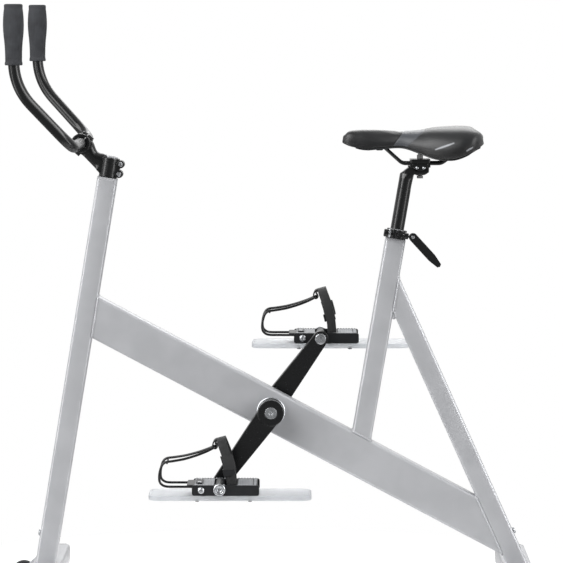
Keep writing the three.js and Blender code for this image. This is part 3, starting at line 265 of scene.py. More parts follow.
def gridFaces(rows, columns, closeRows=False):
    """Quads over a grid of points that closes round, row by row."""
    faces = []
    for i in range(rows if closeRows else rows - 1):
        k = (i + 1) % rows
        for j in range(columns):
            n = (j + 1) % columns
            faces.append((i * columns + j, i * columns + n, k * columns + n, k * columns + j))
    return faces


def cappedFaces(rows, columns):
    """The same with a face on each end."""
    return gridFaces(rows, columns) + [tuple(range(columns))[::-1],
                                       tuple(range((rows - 1) * columns, rows * columns))]


def placesOf(mesh):
    """A mesh's points in millimetres."""
    places = np.empty(len(mesh.vertices) * 3)
    mesh.vertices.foreach_get("co", places)
    return places.reshape(-1, 3) / mm


def movePlaces(mesh, places):
    mesh.vertices.foreach_set("co", (places * mm).ravel())
    mesh.update()


def runAlong(points):
    """How far along the line each of its points lies."""
    return np.concatenate([[0], np.cumsum(np.linalg.norm(np.diff(points, axis=0), axis=1))])


def cornerCurve(before, corner, after, cut, t):
    """A quadratic curve that rounds a corner, from a cut before it to a cut after it."""
    return ((1 - t) ** 2 * (corner + unit(before - corner) * cut) + 2 * t * (1 - t) * corner
            + t ** 2 * (corner + unit(after - corner) * cut))


def roundPath(corners, bends, step):
    """Points along a path whose corners are rounded, each by a curve of its bend length."""
    points = [corners[0]]
    for corner, nextCorner, bend in zip(corners[1:-1], corners[2:], bends):
        t = np.linspace(0, 1, max(6, int(2 * bend / step)))[:, None]
        points += list(cornerCurve(points[-1], corner, nextCorner, bend, t))
    return resample(np.array(points + [corners[-1]]), step)


def evenly(points, count):
    """The same line with a number of evenly spaced points."""
    run = runAlong(points)
    return np.stack([np.interp(np.linspace(0, run[-1], count), run, points[:, k]) for k in range(3)], axis=1)


def resample(points, step):
    """The same line with a point about every step."""
    return evenly(points, max(3, int(runAlong(points)[-1] / step) + 1))


def frames(path, closed=False):
    """Tangent, normal and side at each point, carried along without twist."""
    ahead = np.roll(path, -1, axis=0) - np.roll(path, 1, axis=0)
    if not closed:
        ahead[0], ahead[-1] = path[1] - path[0], path[-1] - path[-2]
    ahead /= np.linalg.norm(ahead, axis=1)[:, None]
    start = np.array([0, 0, 1.0]) if abs(ahead[0][2]) < 0.9 else np.array([1.0, 0, 0])
    normals = []
    normal = unit(start - ahead[0] * start.dot(ahead[0]))
    for tangent in ahead:
        normal = unit(normal - tangent * normal.dot(tangent))
        normals.append(normal)
    normals = np.array(normals)
    return ahead, normals, np.cross(ahead, normals)


def tube(name, path, radius, body, material, sides=28, closed=False, replace=(), roundEnds=0.0, sharpAngle=38.0):
    """A tube along a path, whose radius may change along it."""
    path = np.asarray(path, float)
    radius = np.broadcast_to(np.asarray(radius, float), (len(path),)).copy()
    if roundEnds and not closed:
        turns = np.linspace(0, math.pi / 2, 5)[:-1]
        ahead = frames(path)[0]
        lead = [path[0] + ahead[0] * roundEnds * (1 - math.cos(t)) for t in turns]
        tail = [path[-1] - ahead[-1] * roundEnds * (1 - math.cos(t)) for t in turns][::-1]
        shares = np.sin(turns)
        shares[0] = 0.35    # the flat at each end
        inner = path[1:-1]
        keep = ((np.linalg.norm(inner - path[0], axis=1) > roundEnds)
                & (np.linalg.norm(inner - path[-1], axis=1) > roundEnds))
        radius = np.concatenate([radius[0] * shares, radius[1:-1][keep], radius[-1] * shares[::-1]])
        path = np.array(lead + list(inner[keep]) + tail)
    _, normals, sideways = frames(path, closed)
    turn = np.arange(sides) * 2 * math.pi / sides
    ring = np.cos(turn)[:, None] * normals[:, None] + np.sin(turn)[:, None] * sideways[:, None]
    points = (path[:, None] + ring * radius[:, None, None]).reshape(-1, 3)
    faces = gridFaces(len(path), sides, True) if closed else cappedFaces(len(path), sides)
    uv = np.stack([np.tile(turn * radius.max(), len(path)), np.repeat(runAlong(path), sides)], axis=1) * mm
    return build(name, points, faces, body, material, replace, sharpAngle, uv)


def turnedPoints(profile, axis, origin, sides):
    """Lathe: rings of points for (radius, height) pairs round an axis through origin."""
    axis = unit(axis)
    start = np.array([0, 1.0, 0]) if abs(axis[1]) < 0.9 else np.array([1.0, 0, 0])
    first = unit(start - axis * start.dot(axis))
    second = np.cross(axis, first)
    turn = np.arange(sides) * 2 * math.pi / sides
    ring = np.cos(turn)[:, None] * first + np.sin(turn)[:, None] * second
    return np.concatenate([np.asarray(origin, float) + axis * h + ring * r for r, h in profile])


def soften(profile, bevel, steps=3):
    """Rounds the corners of an open (radius, height) profile."""
    profile = [np.array(p, float) for p in profile]
    out = [profile[0]]
    for before, corner, after in zip(profile[:-2], profile[1:-1], profile[2:]):
        cut = min(bevel, np.linalg.norm(before - corner) * 0.45, np.linalg.norm(after - corner) * 0.45)
        out += [cornerCurve(before, corner, after, cut, t) for t in np.linspace(0, 1, steps + 1)]
    return out + [profile[-1]]


def turnedPiece(name, profile, axis, origin, body, material="stainlessSteel", replace=(), sides=64, bevel=0.8,
                closed=False):
    """A turned piece. A closed profile is a ring; an open one starts and ends on the axis."""
    if closed:
        middle = (np.array(profile[0]) + np.array(profile[-1])) / 2
        loop = soften([middle] + list(profile) + [middle], bevel)[:-1]
        faces = gridFaces(len(loop), sides, closeRows=True)
    else:
        loop = soften(profile, bevel)
        loop[0], loop[-1] = (axisGap, loop[0][1]), (axisGap, loop[-1][1])
        faces = cappedFaces(len(loop), sides)
    return facingOut(build(name, turnedPoints(loop, axis, origin, sides), faces, body, material, replace))


def facingOut(piece):
    """Turns every face of a closed mesh outwards."""
    work = bmesh.new()
    work.from_mesh(piece.data)
    bmesh.ops.recalc_face_normals(work, faces=work.faces)
    work.to_mesh(piece.data)
    work.free()
    return piece


def nodeCopy(name):
    """The CAD node's mesh with its loose triangles joined, and flat faces made whole again."""
    work = bmesh.new()
    work.from_mesh(nodes[name].data)
    bmesh.ops.remove_doubles(work, verts=work.verts, dist=joinWithin)
    bmesh.ops.dissolve_limit(work, angle_limit=math.radians(flatWithin), verts=work.verts, edges=work.edges)
    mesh = bpy.data.meshes.new(name + "_dressed")
    work.to_mesh(mesh)
    work.free()
    return mesh


def dressed(name, material, bevel=0.6, sharpAngle=34.0, segments=2):
    """A CAD node's own form with softened edges, in its place."""
    piece = finishMesh(name + "_dressed", nodeCopy(name), bodyOf[name], material, (name,), sharpAngle)
    if bevel:
        edge = piece.modifiers.new("edges", "BEVEL")
        edge.width = bevel * mm
        edge.segments = segments
        edge.limit_method = "ANGLE"
        edge.angle_limit = math.radians(sharpAngle)
        edge.harden_normals = True
    return piece


def settled(holder):
    """An object's mesh as its modifiers leave it; they come off."""
    mesh = bpy.data.meshes.new_from_object(holder.evaluated_get(bpy.context.evaluated_depsgraph_get()))
    holder.modifiers.clear()
    return mesh


def smoothed(holder, passes):
    flow = holder.modifiers.new("flow", "SMOOTH")
    flow.factor, flow.iterations = 0.5, passes


def cast(name, voxel, passes, shape=None):
    """A CAD node as a lacquered forging: reshaped where asked, then its edges flow into one another."""
    holder = linked(name + "_rough", nodeCopy(name))
    grain = holder.modifiers.new("grain", "REMESH")
    grain.mode = "VOXEL"
    grain.voxel_size = voxel * mm
    holder.data = settled(holder)
    if shape:
        shape(holder.data)
    smoothed(holder, passes)
    mesh = settled(holder)
    bpy.data.objects.remove(holder)
    return finishMesh(name + "_cast", mesh, bodyOf[name], "blackLacqueredAlloy", (name,), 60.0)


# Materials: noise sizes are given in millimetres, and turned into a scale on Object coordinates

materials = {}


def startMaterial(name, base):
    """A node material with its shader, kept by its name."""
    material = bpy.data.materials.new(name)
    material.use_nodes = True
    tree = material.node_tree
    shader = tree.nodes["Principled BSDF"]
    feed(tree, shader, base)
    materials[name] = material
    return tree, shader


def placeOf(tree, scale=(1, 1, 1), turn=(0, 0, 0)):
    """Object coordinates in metres, squeezed or turned for a pattern with a direction."""
    place = addNode(tree, "ShaderNodeTexCoord").outputs["Object"]
    return addNode(tree, "ShaderNodeMapping", {"Scale": scale, "Rotation": turn, "Vector": place}).outputs[0]


def noise(tree, size, detail=3.0, rough=0.55, place=None):
    """Noise whose lumps are about size millimetres wide."""
    return addNode(tree, "ShaderNodeTexNoise", {"Scale": 1 / (size * mm), "Detail": detail, "Roughness": rough,
                                                "Vector": place or placeOf(tree)}).outputs[0]


def blended(tree, factor, first, second):
    """Two colours mixed by a factor socket; each is a hex value or a socket."""
    return addNode(tree, "ShaderNodeMix", {0: factor, 6: first, 7: second}, data_type="RGBA").outputs[2]


def bumped(tree, shader, height, distance, strength=1.0):
    """Bump of a depth in millimetres, added over any bump that the shader has."""
    inputs = {"Height": height, "Distance": distance * mm, "Strength": strength}
    if shader.inputs["Normal"].is_linked:
        inputs["Normal"] = shader.inputs["Normal"].links[0].from_socket
    feed(tree, shader, {"Normal": addNode(tree, "ShaderNodeBump", inputs).outputs[0]})


def edgeShare(tree, width, start=0.06, end=0.5):
    """Near 1 on rounded outer edges within a width in millimetres, 0 on flat faces."""
    soft = addNode(tree, "ShaderNodeBevel", {"Radius": width * mm}, samples=4).outputs[0]
    plain = addNode(tree, "ShaderNodeNewGeometry").outputs["Normal"]
    turn = addNode(tree, "ShaderNodeVectorMath", {0: soft, 1: plain}, operation="DOT_PRODUCT").outputs["Value"]
    return ranged(tree, turn, 1.0, 0.0, 1.0 - end, 1.0 - start)


# Satin silver powder coat: soft broad highlights, faint orange peel and fine metal flakes, with a painted highlight
# that lightens the rounded edges
# edge is the colour of the painted highlight on rounded edges
coatSet = {"base": "#ABACAF", "low": "#A4A5A8", "edge": "#D0D1D4", "peel": 1.6, "flake": 0.28, "cloud": 60.0}


def makeSilverCoat(size):
    tree, shader = startMaterial("silverPowderCoat",
                                 {"Metallic": 0.35, "Coat Weight": 0.25, "Coat Roughness": 0.28})
    cloud = ranged(tree, noise(tree, size["cloud"], 2.0), 0.0, 1.0, 0.35, 0.65)
    # painted highlight: the rounded edges are blended towards the lighter edge colour
    edge = ranged(tree, edgeShare(tree, 2.2, 0.02, 0.3), 0.0, 0.6)
    feed(tree, shader, {
        "Base Color": blended(tree, edge, blended(tree, cloud, size["base"], size["low"]), size["edge"]),
        "Roughness": ranged(tree, noise(tree, size["flake"], 1.0), 0.34, 0.48, 0.3, 0.7)})
    bumped(tree, shader, noise(tree, size["peel"], 2.0), 0.03, 0.6)


# Gloss black lacquer over alloy: deep reflections with a soft grey sheen, rare hairline scuffs, and a painted
# highlight that lightens the rounded edges
glossSet = {"base": "#08090A", "scuffAndHighlight": "#1D1E20", "peel": 2.2}


def makeGlossBlack(size):
    tree, shader = startMaterial("blackLacqueredAlloy",
                                 {"Specular IOR Level": 0.32, "Coat Weight": 0.22, "Coat Roughness": 0.12})
    scuffs = ranged(tree, noise(tree, 0.9, 6.0, 0.7, placeOf(tree, (1, 1, 7))), 0.0, 1.0, 0.66, 0.8)
    # the streaks are scuffs; the lighter rounded edges are a painted highlight in the same grey
    scuffsAndEdgeHighlight = reckon(tree, "MAXIMUM", scuffs, ranged(tree, edgeShare(tree, 1.2, 0.03, 0.4), 0.0, 0.55))
    feed(tree, shader, {"Base Color": blended(tree, scuffsAndEdgeHighlight, size["base"], size["scuffAndHighlight"]),
                        "Roughness": ranged(tree, noise(tree, 14.0), 0.2, 0.36)})
    bumped(tree, shader, noise(tree, size["peel"], 1.0), 0.02, 0.5)


# Stainless steel: turned rings' sparkle, from fine streaks in the roughness
def makeSteel():
    tree, shader = startMaterial("stainlessSteel", {"Metallic": 1.0, "Anisotropic": 0.35})
    streaks = noise(tree, 0.25, 4.0, 0.6, placeOf(tree, (1, 0.06, 1)))
    spots = ranged(tree, noise(tree, 5.0), 0.0, 1.0, 0.5, 0.75)
    feed(tree, shader, {"Base Color": blended(tree, spots, "#B9BBBE", "#94979B"),
                        "Roughness": ranged(tree, streaks, 0.14, 0.34)})
    bumped(tree, shader, streaks, 0.01, 0.5)


def makeMoulded(name, base, light, rough, grain, depth):
    """Moulded plastic or rubber: a fine spark-eroded grain, a little uneven in colour, with a painted highlight that
    lightens the rounded edges.
    """
    tree, shader = startMaterial(name, {"IOR": 1.45, "Specular IOR Level": 0.42})
    spread = ranged(tree, noise(tree, 25.0), 0.0, 1.0, 0.3, 0.7)
    # painted highlight: the rounded edges are lifted towards the light colour
    edge = ranged(tree, edgeShare(tree, 1.0, 0.03, 0.4), 0.0, 0.5)
    lift = reckon(tree, "MAXIMUM", ranged(tree, spread, 0.0, 0.4), edge)
    pits = noise(tree, grain, 3.0, 0.65)
    feed(tree, shader, {"Base Color": blended(tree, lift, base, light),
                        "Roughness": ranged(tree, pits, rough - 0.08, rough + 0.1)})
    bumped(tree, shader, pits, depth, 0.8)


# Frosted polycarbonate: light comes through, clouded; a painted darker grey on the rounded rim stands in for the
# light that the cut edge gathers
def makeBlade():
    tree, shader = startMaterial("frostedPolycarbonate", {"IOR": 1.5, "Transmission Weight": 0.82})
    tint = blended(tree, ranged(tree, noise(tree, 30.0), 0.0, 1.0, 0.3, 0.7), "#DFE1E4", "#D3D6DA")
    # painted shade: the rounded rim is tinted a darker grey
    edge = ranged(tree, edgeShare(tree, 2.0, 0.02, 0.3), 0.0, 0.7)
    feed(tree, shader, {"Base Color": blended(tree, edge, tint, "#C3C7CC"),
                        "Roughness": ranged(tree, noise(tree, 1.4), 0.3, 0.46)})
    bumped(tree, shader, noise(tree, 0.8, 2.0), 0.02, 0.5)


# Nylon webbing: ribs across the strap and a plain weave, from the strap's own UV in metres
webSet = {"pitch": 1.9, "base": "#08090A", "light": "#17191B"}


def makeWebbing(size):
    tree, shader = startMaterial("nylonWebbing",
                                 {"Roughness": 0.72, "Sheen Weight": 0.15, "Sheen Roughness": 0.4})
    place = addNode(tree, "ShaderNodeUVMap", uv_map="along").outputs[0]
    waves = []
    for axis, share in (("X", 1.0), ("Y", 0.8)):
        # one rib every pitch: a wave's scale is pi / 10 over its length
        waves.append(addNode(tree, "ShaderNodeTexWave",
                             {"Vector": place, "Scale": share * math.pi / (10 * size["pitch"] * mm),
                              "Distortion": 0.6, "Detail": 1.0}, bands_direction=axis).outputs[1])
    weave = reckon(tree, "MULTIPLY", *waves)
    feed(tree, shader, {"Base Color": blended(tree, ranged(tree, weave, 0.0, 0.75), size["base"], size["light"])})
    bumped(tree, shader, weave, 0.25, 0.9)


# Saddle vinyl: pebbled skin with a grey sheen on what faces up; the mask attributes carry the printed band, and a
# painted shade that darkens the ribbed grip low on the rear flanks
vinylSet = {"base": "#08090B", "light": "#111214", "pebble": 1.1, "ribs": 2.6,
            # colours of the masks; the grip's colour is a painted shade, darker than the vinyl, for the lower rear
            # flanks
            "grip": "#050506", "band": "#3A3C40", "line": "#97999D"}


def makeVinyl(size):
    tree, shader = startMaterial("saddleVinyl",
                                 {"Specular IOR Level": 0.38, "Sheen Weight": 0.05, "Sheen Roughness": 0.5,
                                  "Coat Weight": 0.12, "Coat Roughness": 0.4})
    base = blended(tree, ranged(tree, noise(tree, 22.0), 0.0, 0.6, 0.35, 0.7), size["base"], size["light"])
    masks = {layer: addNode(tree, "ShaderNodeAttribute", attribute_name=layer).outputs["Fac"]
             for layer in ("grip", "band", "line")}
    # band and line are print; the grip mask's darker colour is painted shade on the lower rear flanks
    for layer, mask in masks.items():
        base = blended(tree, mask, base, size[layer])
    cells = addNode(tree, "ShaderNodeTexVoronoi", {"Scale": 1 / (size["pebble"] * mm), "Smoothness": 0.6,
                                                   "Vector": placeOf(tree)}, feature="SMOOTH_F1").outputs[0]
    feed(tree, shader, {"Base Color": base, "Roughness": ranged(tree, cells, 0.37, 0.5)})
    # fine slanting ribs low on the rear flanks
    ribs = addNode(tree, "ShaderNodeTexWave", {"Scale": math.pi / (10 * size["ribs"] * mm), "Distortion": 0.0,
                                               "Vector": placeOf(tree, turn=(0.0, 0.6, 0.0))}).outputs["Fac"]
    bumped(tree, shader, reckon(tree, "MULTIPLY", ribs, masks["grip"]), 0.35, 0.6)
    bumped(tree, shader, cells, 0.09, 0.7)
    bumped(tree, shader, noise(tree, 9.0, 2.0), 0.12, 0.5)


makeSilverCoat(coatSet)
makeGlossBlack(glossSet)
makeSteel()
makeBlade()
makeWebbing(webSet)
makeVinyl(vinylSet)
# Glass-filled nylon for the pedals and buckles; softer, duller rubber for pads and tyres; matte foam rubber grips
makeMoulded("blackNylon", "#0D0E10", "#232528", 0.42, 0.5, 0.05)
makeMoulded("blackRubber", "#17181A", "#2C2D30", 0.74, 0.9, 0.08)
makeMoulded("gripRubber", "#232427", "#45474B", 0.78, 0.6, 0.07)
# Grey tread inserts on the pedals' tops
makeMoulded("greyTread", "#8B8D90", "#A2A4A7", 0.6, 0.7, 0.08)
say(f"{len(materials)} materials")


# Directions and main places of the frame, in millimetres and degrees

layout = {
    "postLean": 9.35, "seatLean": 9.61, "strutLean": 24.25, "beamSlope": 28.0, "crankTurn": 36.0,
    # half sizes of the tubes' sections, and the radius of their corners
    "tubeHalf": 20.0, "beamHalf": 40.0, "corner": 5.0,
    "crankReach": 170.0, "pedalOut": 128.0, "strutDrop": 76.0,
}


def leaning(degrees):
    """Upwards in the side plane, the top leaning towards the rear by that many degrees."""
    return np.array([math.sin(math.radians(degrees)), 0.0, math.cos(math.radians(degrees))])


side = np.array([0.0, 1.0, 0.0])
hands = (("left", -1), ("right", 1))
postAxis, postBack = leaning(layout["postLean"]), leaning(layout["postLean"] + 90)
seatAxis, seatBack = leaning(layout["seatLean"]), leaning(layout["seatLean"] + 90)
strutAxis, strutBack = leaning(-layout["strutLean"]), leaning(90 - layout["strutLean"])
beamAxis = leaning(90 + layout["beamSlope"])
beamUp = leaning(layout["beamSlope"])
crankMiddle = at(0, 393.0)
postTop, seatTop = at(-327.57, 856.0), at(248.97, 734.0)
barMiddle, stemMiddle = at(-379.87, 929.27), at(-323.57, 880.27)
clampMiddle, leverPivot = at(297.97, 889.0), at(283.78, 741.9, -26.5)
strutTop = seatTop - seatAxis * layout["strutDrop"] / seatAxis[2]
postFace = postTop + postBack * layout["tubeHalf"]
strutFace = strutTop - strutBack * layout["tubeHalf"]
crankArm = leaning(layout["crankTurn"]) * layout["crankReach"]
# each pedal's hand and sign, its place on the crank and its body
pedals = [(hand, s, crankMiddle + s * (crankArm + side * layout["pedalOut"]), f"{hand}_pedal") for hand, s in hands]


def roundedBox(halfWide, halfDeep, corner, steps=6):
    """Outline of a box section with round corners: pairs (sideways, up)."""
    points = []
    for k, (sx, sz) in enumerate(((1, 1), (-1, 1), (-1, -1), (1, -1))):
        for t in np.linspace(0, math.pi / 2, steps):
            turn = t + k * math.pi / 2
            points.append((sx * (halfWide - corner) + corner * math.cos(turn),
                           sz * (halfDeep - corner) + corner * math.sin(turn)))
    return np.array(points)


def roundAbout(origin, axis, radius, high, reach=0.9, low=None):
    """A round surface for snapRound, from low to high along its axis, or as far both ways."""
    return origin, unit(axis), radius, -high if low is None else low, high, reach


def snapRound(mesh, rounds):
    """Points close to a known round surface go exactly onto it."""
    places = placesOf(mesh)
    for origin, axis, radius, low, high, reach in rounds:
        offset = places - origin
        along = offset @ axis
        outward = offset - along[:, None] * axis
        distance = np.linalg.norm(outward, axis=1)
        near = (abs(distance - radius) < reach) & (along > low) & (along < high)
        places[near] += outward[near] * (radius / distance[near] - 1.0)[:, None]
    movePlaces(mesh, places)


def ovalArm(mesh, start, axis, low, high, half, blends, strength=0.85, waist=0.0):
    """Gives the part of a mesh between two places along an axis an oval section; its side view stays."""
    across = np.array([-axis[2], 0, axis[0]])
    places = placesOf(mesh)
    offset = places - start
    along, over = offset @ axis, offset @ across
    cells = np.arange(low - 4, high + 4, 2.0)
    edges = [over[abs(along - c) < 2.2] for c in cells]
    # both edges run evenly into the ends
    even = [np.convolve(np.pad([pick(e) for e in edges], 3, "edge"), np.full(7, 1 / 7), "valid")
            for pick in (np.max, np.min)]
    top, foot = (np.interp(along, cells, e) for e in even)
    # square to disc: u sqrt(1 - v^2 / 2), v sqrt(1 - u^2 / 2)
    u = np.clip(places[:, 1] / half, -1, 1)
    v = np.clip((over - (top + foot) / 2) / ((top - foot) / 2), -1, 1)
    share = np.clip(np.minimum((along - low) / blends[0], (high - along) / blends[1]), 0, 1)
    share = strength * share * share * (3 - 2 * share)
    places[:, 1] *= 1 - share * (1 - np.sqrt(1 - v * v / 2))
    inward = v * (np.sqrt(1 - u * u / 2) - 1) * (top - foot) / 2 * share
    # a waist: one edge is drawn towards the other between the ends
    bow = np.clip((along - low) / (high - low), 0, 1)
    inward += waist * (over - top) * np.sin(math.pi * bow) ** 2
    movePlaces(mesh, places + inward[:, None] * across)


# Frame: painted tubes with rounded cut ends, and a rippled weld bead round each joint

weldSet = {"radius": 2.1, "ripple": 0.16, "pitch": 3.4, "step": 0.85, "shell": 20.6,
           # beads round the top plates: radius, above the tube's end, inside its walls, corner
           "plate": (1.15, 0.2, 0.9, 4.2),
           # beads in the corner under the strut: half width, and how far down each lies
           "crotchHalf": 17.0, "crotch": {"top": 2.4, "upper": 5.0, "middle": 7.6, "lower": 10.6}}


def weldBead(name, loop, radius=None, size=weldSet):
    """A closed bead along a loop of points, its radius rippling once every pitch."""
    loop = resample(np.vstack([loop, loop[:1]]), size["step"])[:-1]
    run = np.arange(len(loop)) * size["step"]
    swell = np.abs(np.cos(run / run[-1] * round(run[-1] / size["pitch"]) * math.pi))
    radius = (radius or size["radius"]) * (1 - size["ripple"] + size["ripple"] * swell)
    return tube(name, loop, radius, "frame", "silverPowderCoat", sides=10, closed=True, sharpAngle=80)


def boxOnPlane(origin, axis, up, halfDeep, planePoint, planeNormal):
    """A box tube's outline where its walls meet a plane."""
    loop = []
    for wide, high in roundedBox(layout["tubeHalf"], halfDeep, layout["corner"]):
        point = origin + side * wide + up * high
        loop.append(point + axis * ((planePoint - point) @ planeNormal) / (axis @ planeNormal))
    return np.array(loop)


def makeFrame(size):
    for name in ("main_beam", "front_post", "rear_strut", "seat_tube"):
        dressed(name, "silverPowderCoat", bevel=0.7, sharpAngle=36, segments=3)
    half, deep = layout["tubeHalf"], layout["beamHalf"]
    beam = (crankMiddle, beamAxis, beamUp, deep)
    for name, outline in (("beam_post", boxOnPlane(*beam, postFace, postBack)),
                          ("beam_strut", boxOnPlane(*beam, strutFace, strutBack)),
                          ("seat_beam", boxOnPlane(seatTop, seatAxis, seatBack, half,
                                                   crankMiddle + beamUp * deep, beamUp)),
                          ("strut_seat", boxOnPlane(strutTop, strutAxis, strutBack, half,
                                                    seatTop + seatBack * half, seatBack))):
        weldBead(f"weld_{name}", outline)
    turn = np.linspace(0, 2 * math.pi, 90, endpoint=False)
    for hand, s in hands:
        ring = [crankMiddle + side * s * half + size["shell"] * (math.cos(t) * beamAxis + math.sin(t) * beamUp)
                for t in turn]
        weldBead(f"weld_shell_{hand}", np.array(ring))
    radius, lift, inset, corner = size["plate"]
    for name, top, axis, back in (("post", postTop, postAxis, postBack), ("seat", seatTop, seatAxis, seatBack)):
        plate = [top + axis * lift + side * w + back * h for w, h in roundedBox(half - inset, half - inset, corner)]
        weldBead(f"weld_{name}_plate", np.array(plate), radius)


def makeCrotch(size):
    """Weld metal that fills the sharp corner under the strut, as four beads across it."""
    half, wide = layout["tubeHalf"], side * size["crotchHalf"]
    lean = np.array([[seatBack[0], seatBack[2]], [strutBack[0], strutBack[2]]])
    x, z = np.linalg.solve(lean, [seatTop.dot(seatBack) + half, strutTop.dot(strutBack) - half])
    down = -unit(seatAxis + strutAxis)
    spread = math.sin(math.acos(seatAxis.dot(strutAxis)) / 2)
    for name, reach in size["crotch"].items():
        middle = np.array([x, 0, z]) + down * reach
        tube(f"crotch_weld_{name}", np.linspace(middle - wide, middle + wide, 12), reach * spread + 0.5, "frame",
             "silverPowderCoat", sides=24, roundEnds=1.0)


def makeTops():
    """The round tubes that stand in the plates closing the post and the seat tube."""
    for name in ("steerer_tube", "seat_sleeve"):
        dressed(name, "silverPowderCoat", bevel=1.0, sharpAngle=30, segments=3)


footSet = {
    # ribs round a pad: the lowest one's height, and how much less radius each has
    "ribs": 5, "ribPitch": 3.6, "ribStart": 12.4, "ribTaper": 0.75,
    # radius and height pairs of one rib, and of the pad below and above the ribs
    "rib": [(24.2, 0.4), (24.0, 2.1), (22.8, 2.6), (22.6, 3.2)],
    "below": [(0, 1.2), (17.0, 1.2), (18.0, 0.0), (24.4, 0.0), (26.0, 1.6), (26.0, 11.5)],
    "above": [(20.0, 32.0), (20.0, 33.7), (0, 33.7)],
}


def middleOf(name):
    """The middle of a CAD node's box, in millimetres."""
    low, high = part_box(name)
    return 500 * (np.array(low) + np.array(high))


def makeFeet(size):
    ribs = [(r - k * size["ribTaper"], size["ribStart"] + k * size["ribPitch"] + up)
            for k in range(size["ribs"]) for r, up in size["rib"]]
    profile = size["below"] + ribs + size["above"]
    for end in ("front", "rear"):
        dressed(f"{end}_foot", "silverPowderCoat", bevel=0.6, sharpAngle=36)
        for hand, _ in hands:
            dressed(f"foot_cap_{end}_{hand}", "blackNylon", bevel=1.4, sharpAngle=30, segments=4)
            pad = f"foot_pad_{end}_{hand}"
            turnedPiece(pad + "_moulded", profile, (0, 0, 1), middleOf(pad) * [1, 1, 0], "frame", "blackRubber",
                        (pad,), sides=72, bevel=0.5)
    for name in ("front_post_bolt", "rear_strut_bolt"):
        dressed(name, "stainlessSteel", bevel=0.5, sharpAngle=25, segments=3)


# one half of each ring's profile: radius, and sideways from the wheel's middle
wheelSet = {
    "tyre": [(16.5, -9.2), (20.0, -11.0), (22.4, -11.0), (24.4, -9.4), (25.0, -6.5), (25.0, -3.0), (23.4, -2.2)],
    "hub": [(4.4, -11.0), (8.5, -11.0), (8.5, -8.0), (14.0, -7.2), (14.6, -10.2), (16.5, -10.2)],
}


def makeWheels(size):
    dressed("wheel_axle", "stainlessSteel", bevel=0.5, sharpAngle=32)
    tyre, hub = (size[key] + [(r, -h) for r, h in size[key][::-1]] for key in ("tyre", "hub"))
    for hand, _ in hands:
        wheel = f"{hand}_wheel"
        turnedPiece(wheel + "_tyre", tyre, side, middleOf(wheel), wheel, "blackRubber", (wheel,), sides=96,
                    bevel=0.7, closed=True)
        turnedPiece(wheel + "_hub", hub, side, middleOf(wheel), wheel, "greyTread", sides=72, bevel=0.5, closed=True)


makeFrame(weldSet)
makeCrotch(weldSet)
makeTops()
makeFeet(footSet)
makeWheels(wheelSet)
say("frame, feet and wheels")


# Steering: one bent bar, two foam grips, the stem and its bolts

barSet = {"radius": 11.1, "spread": 284.0, "elbow": 250.0, "hornAhead": 109.0, "hornRise": 118.0, "top": 269.0,
          "elbowBend": 42.0, "hornBend": 50.0}
gripSet = {
    "foot": 159.0,     # above the bar's middle
    "length": 117.0,
    # radius and height pairs, from the bore up the outside to the crown
    "wall": [(11.7, 0.0), (16.3, 0.0), (17.0, 1.4), (17.0, 4.6), (16.2, 7.4), (16.1, 12.0), (16.4, 26.0),
             (16.9, 36.0), (17.7, 46.0), (18.8, 56.0), (19.6, 66.0), (20.0, 77.0), (19.7, 88.0), (19.1, 97.0),
             (18.4, 104.0), (17.9, 107.0), (17.8, 108.4), (18.0, 113.6), (17.2, 116.2), (14.0, 117.0), (4.0, 117.0),
             (0.0, 116.7)],
    "flutes": 36, "fluteDepth": 0.5, "sides": 144,
}


def makeBar(size):
    reach = np.array([-size["hornAhead"], size["spread"], 0.0])
    half = [barMiddle + reach + [0, 0, size["top"]], barMiddle + reach + [0, 0, size["hornRise"]],
            barMiddle + [0, size["elbow"], 0]]
    corners = half + [corner * [1, -1, 1] for corner in half[::-1]]
    bends = [size["hornBend"], size["elbowBend"], size["elbowBend"], size["hornBend"]]
    tube("handlebar_tube", roundPath(corners, bends, 3.0), size["radius"], "handlebar", "blackLacqueredAlloy",
         sides=40, replace=("handlebar",))


def makeGrips(size):
    """Foam grips: swelling upwards, a groove under the crown, faint flutes down the outside."""
    wall = soften(size["wall"], 1.6, 4)
    wall[-1] = (axisGap, wall[-1][1])
    sides = size["sides"]
    for hand, s in hands:
        origin = barMiddle + [-barSet["hornAhead"], s * barSet["spread"], size["foot"]]
        points = turnedPoints(wall, (0, 0, 1), origin, sides)
        offset = points - origin
        reach = np.linalg.norm(offset[:, :2], axis=1)
        turn = np.arctan2(offset[:, 1], offset[:, 0])
        height = offset[:, 2] / size["length"]
        share = np.clip(np.minimum((height - 0.06) / 0.05, (0.9 - height) / 0.05), 0, 1) * (reach > 13)
        groove = size["fluteDepth"] * share * (0.5 + 0.5 * np.cos(turn * size["flutes"]))
        points[:, :2] -= offset[:, :2] / np.maximum(reach, 1e-6)[:, None] * groove[:, None]
        # open below, where the bar comes in
        faces = gridFaces(len(wall), sides) + cappedFaces(len(wall), sides)[-1:]
        build(f"{hand}_grip_foam", points, faces, "handlebar", "gripRubber", (f"{hand}_grip",), 50)


# each round surface: radius, half length and how far off a point may lie
stemSet = {
    "boss": (18.5, 18.6), "steererBore": (14.6, 30.0), "clamp": (19.0, 19.6), "barBore": (11.4, 30.0),
    "ear": (8.0, 12.8, 0.6), "earBehind": 21.5, "earApart": 9.8,
    # the arm's section: from, to, half width and the lengths over which it sets in
    "arm": (15.0, 60.0, 13.0, (9.0, 9.0)), "waist": -0.27,
}


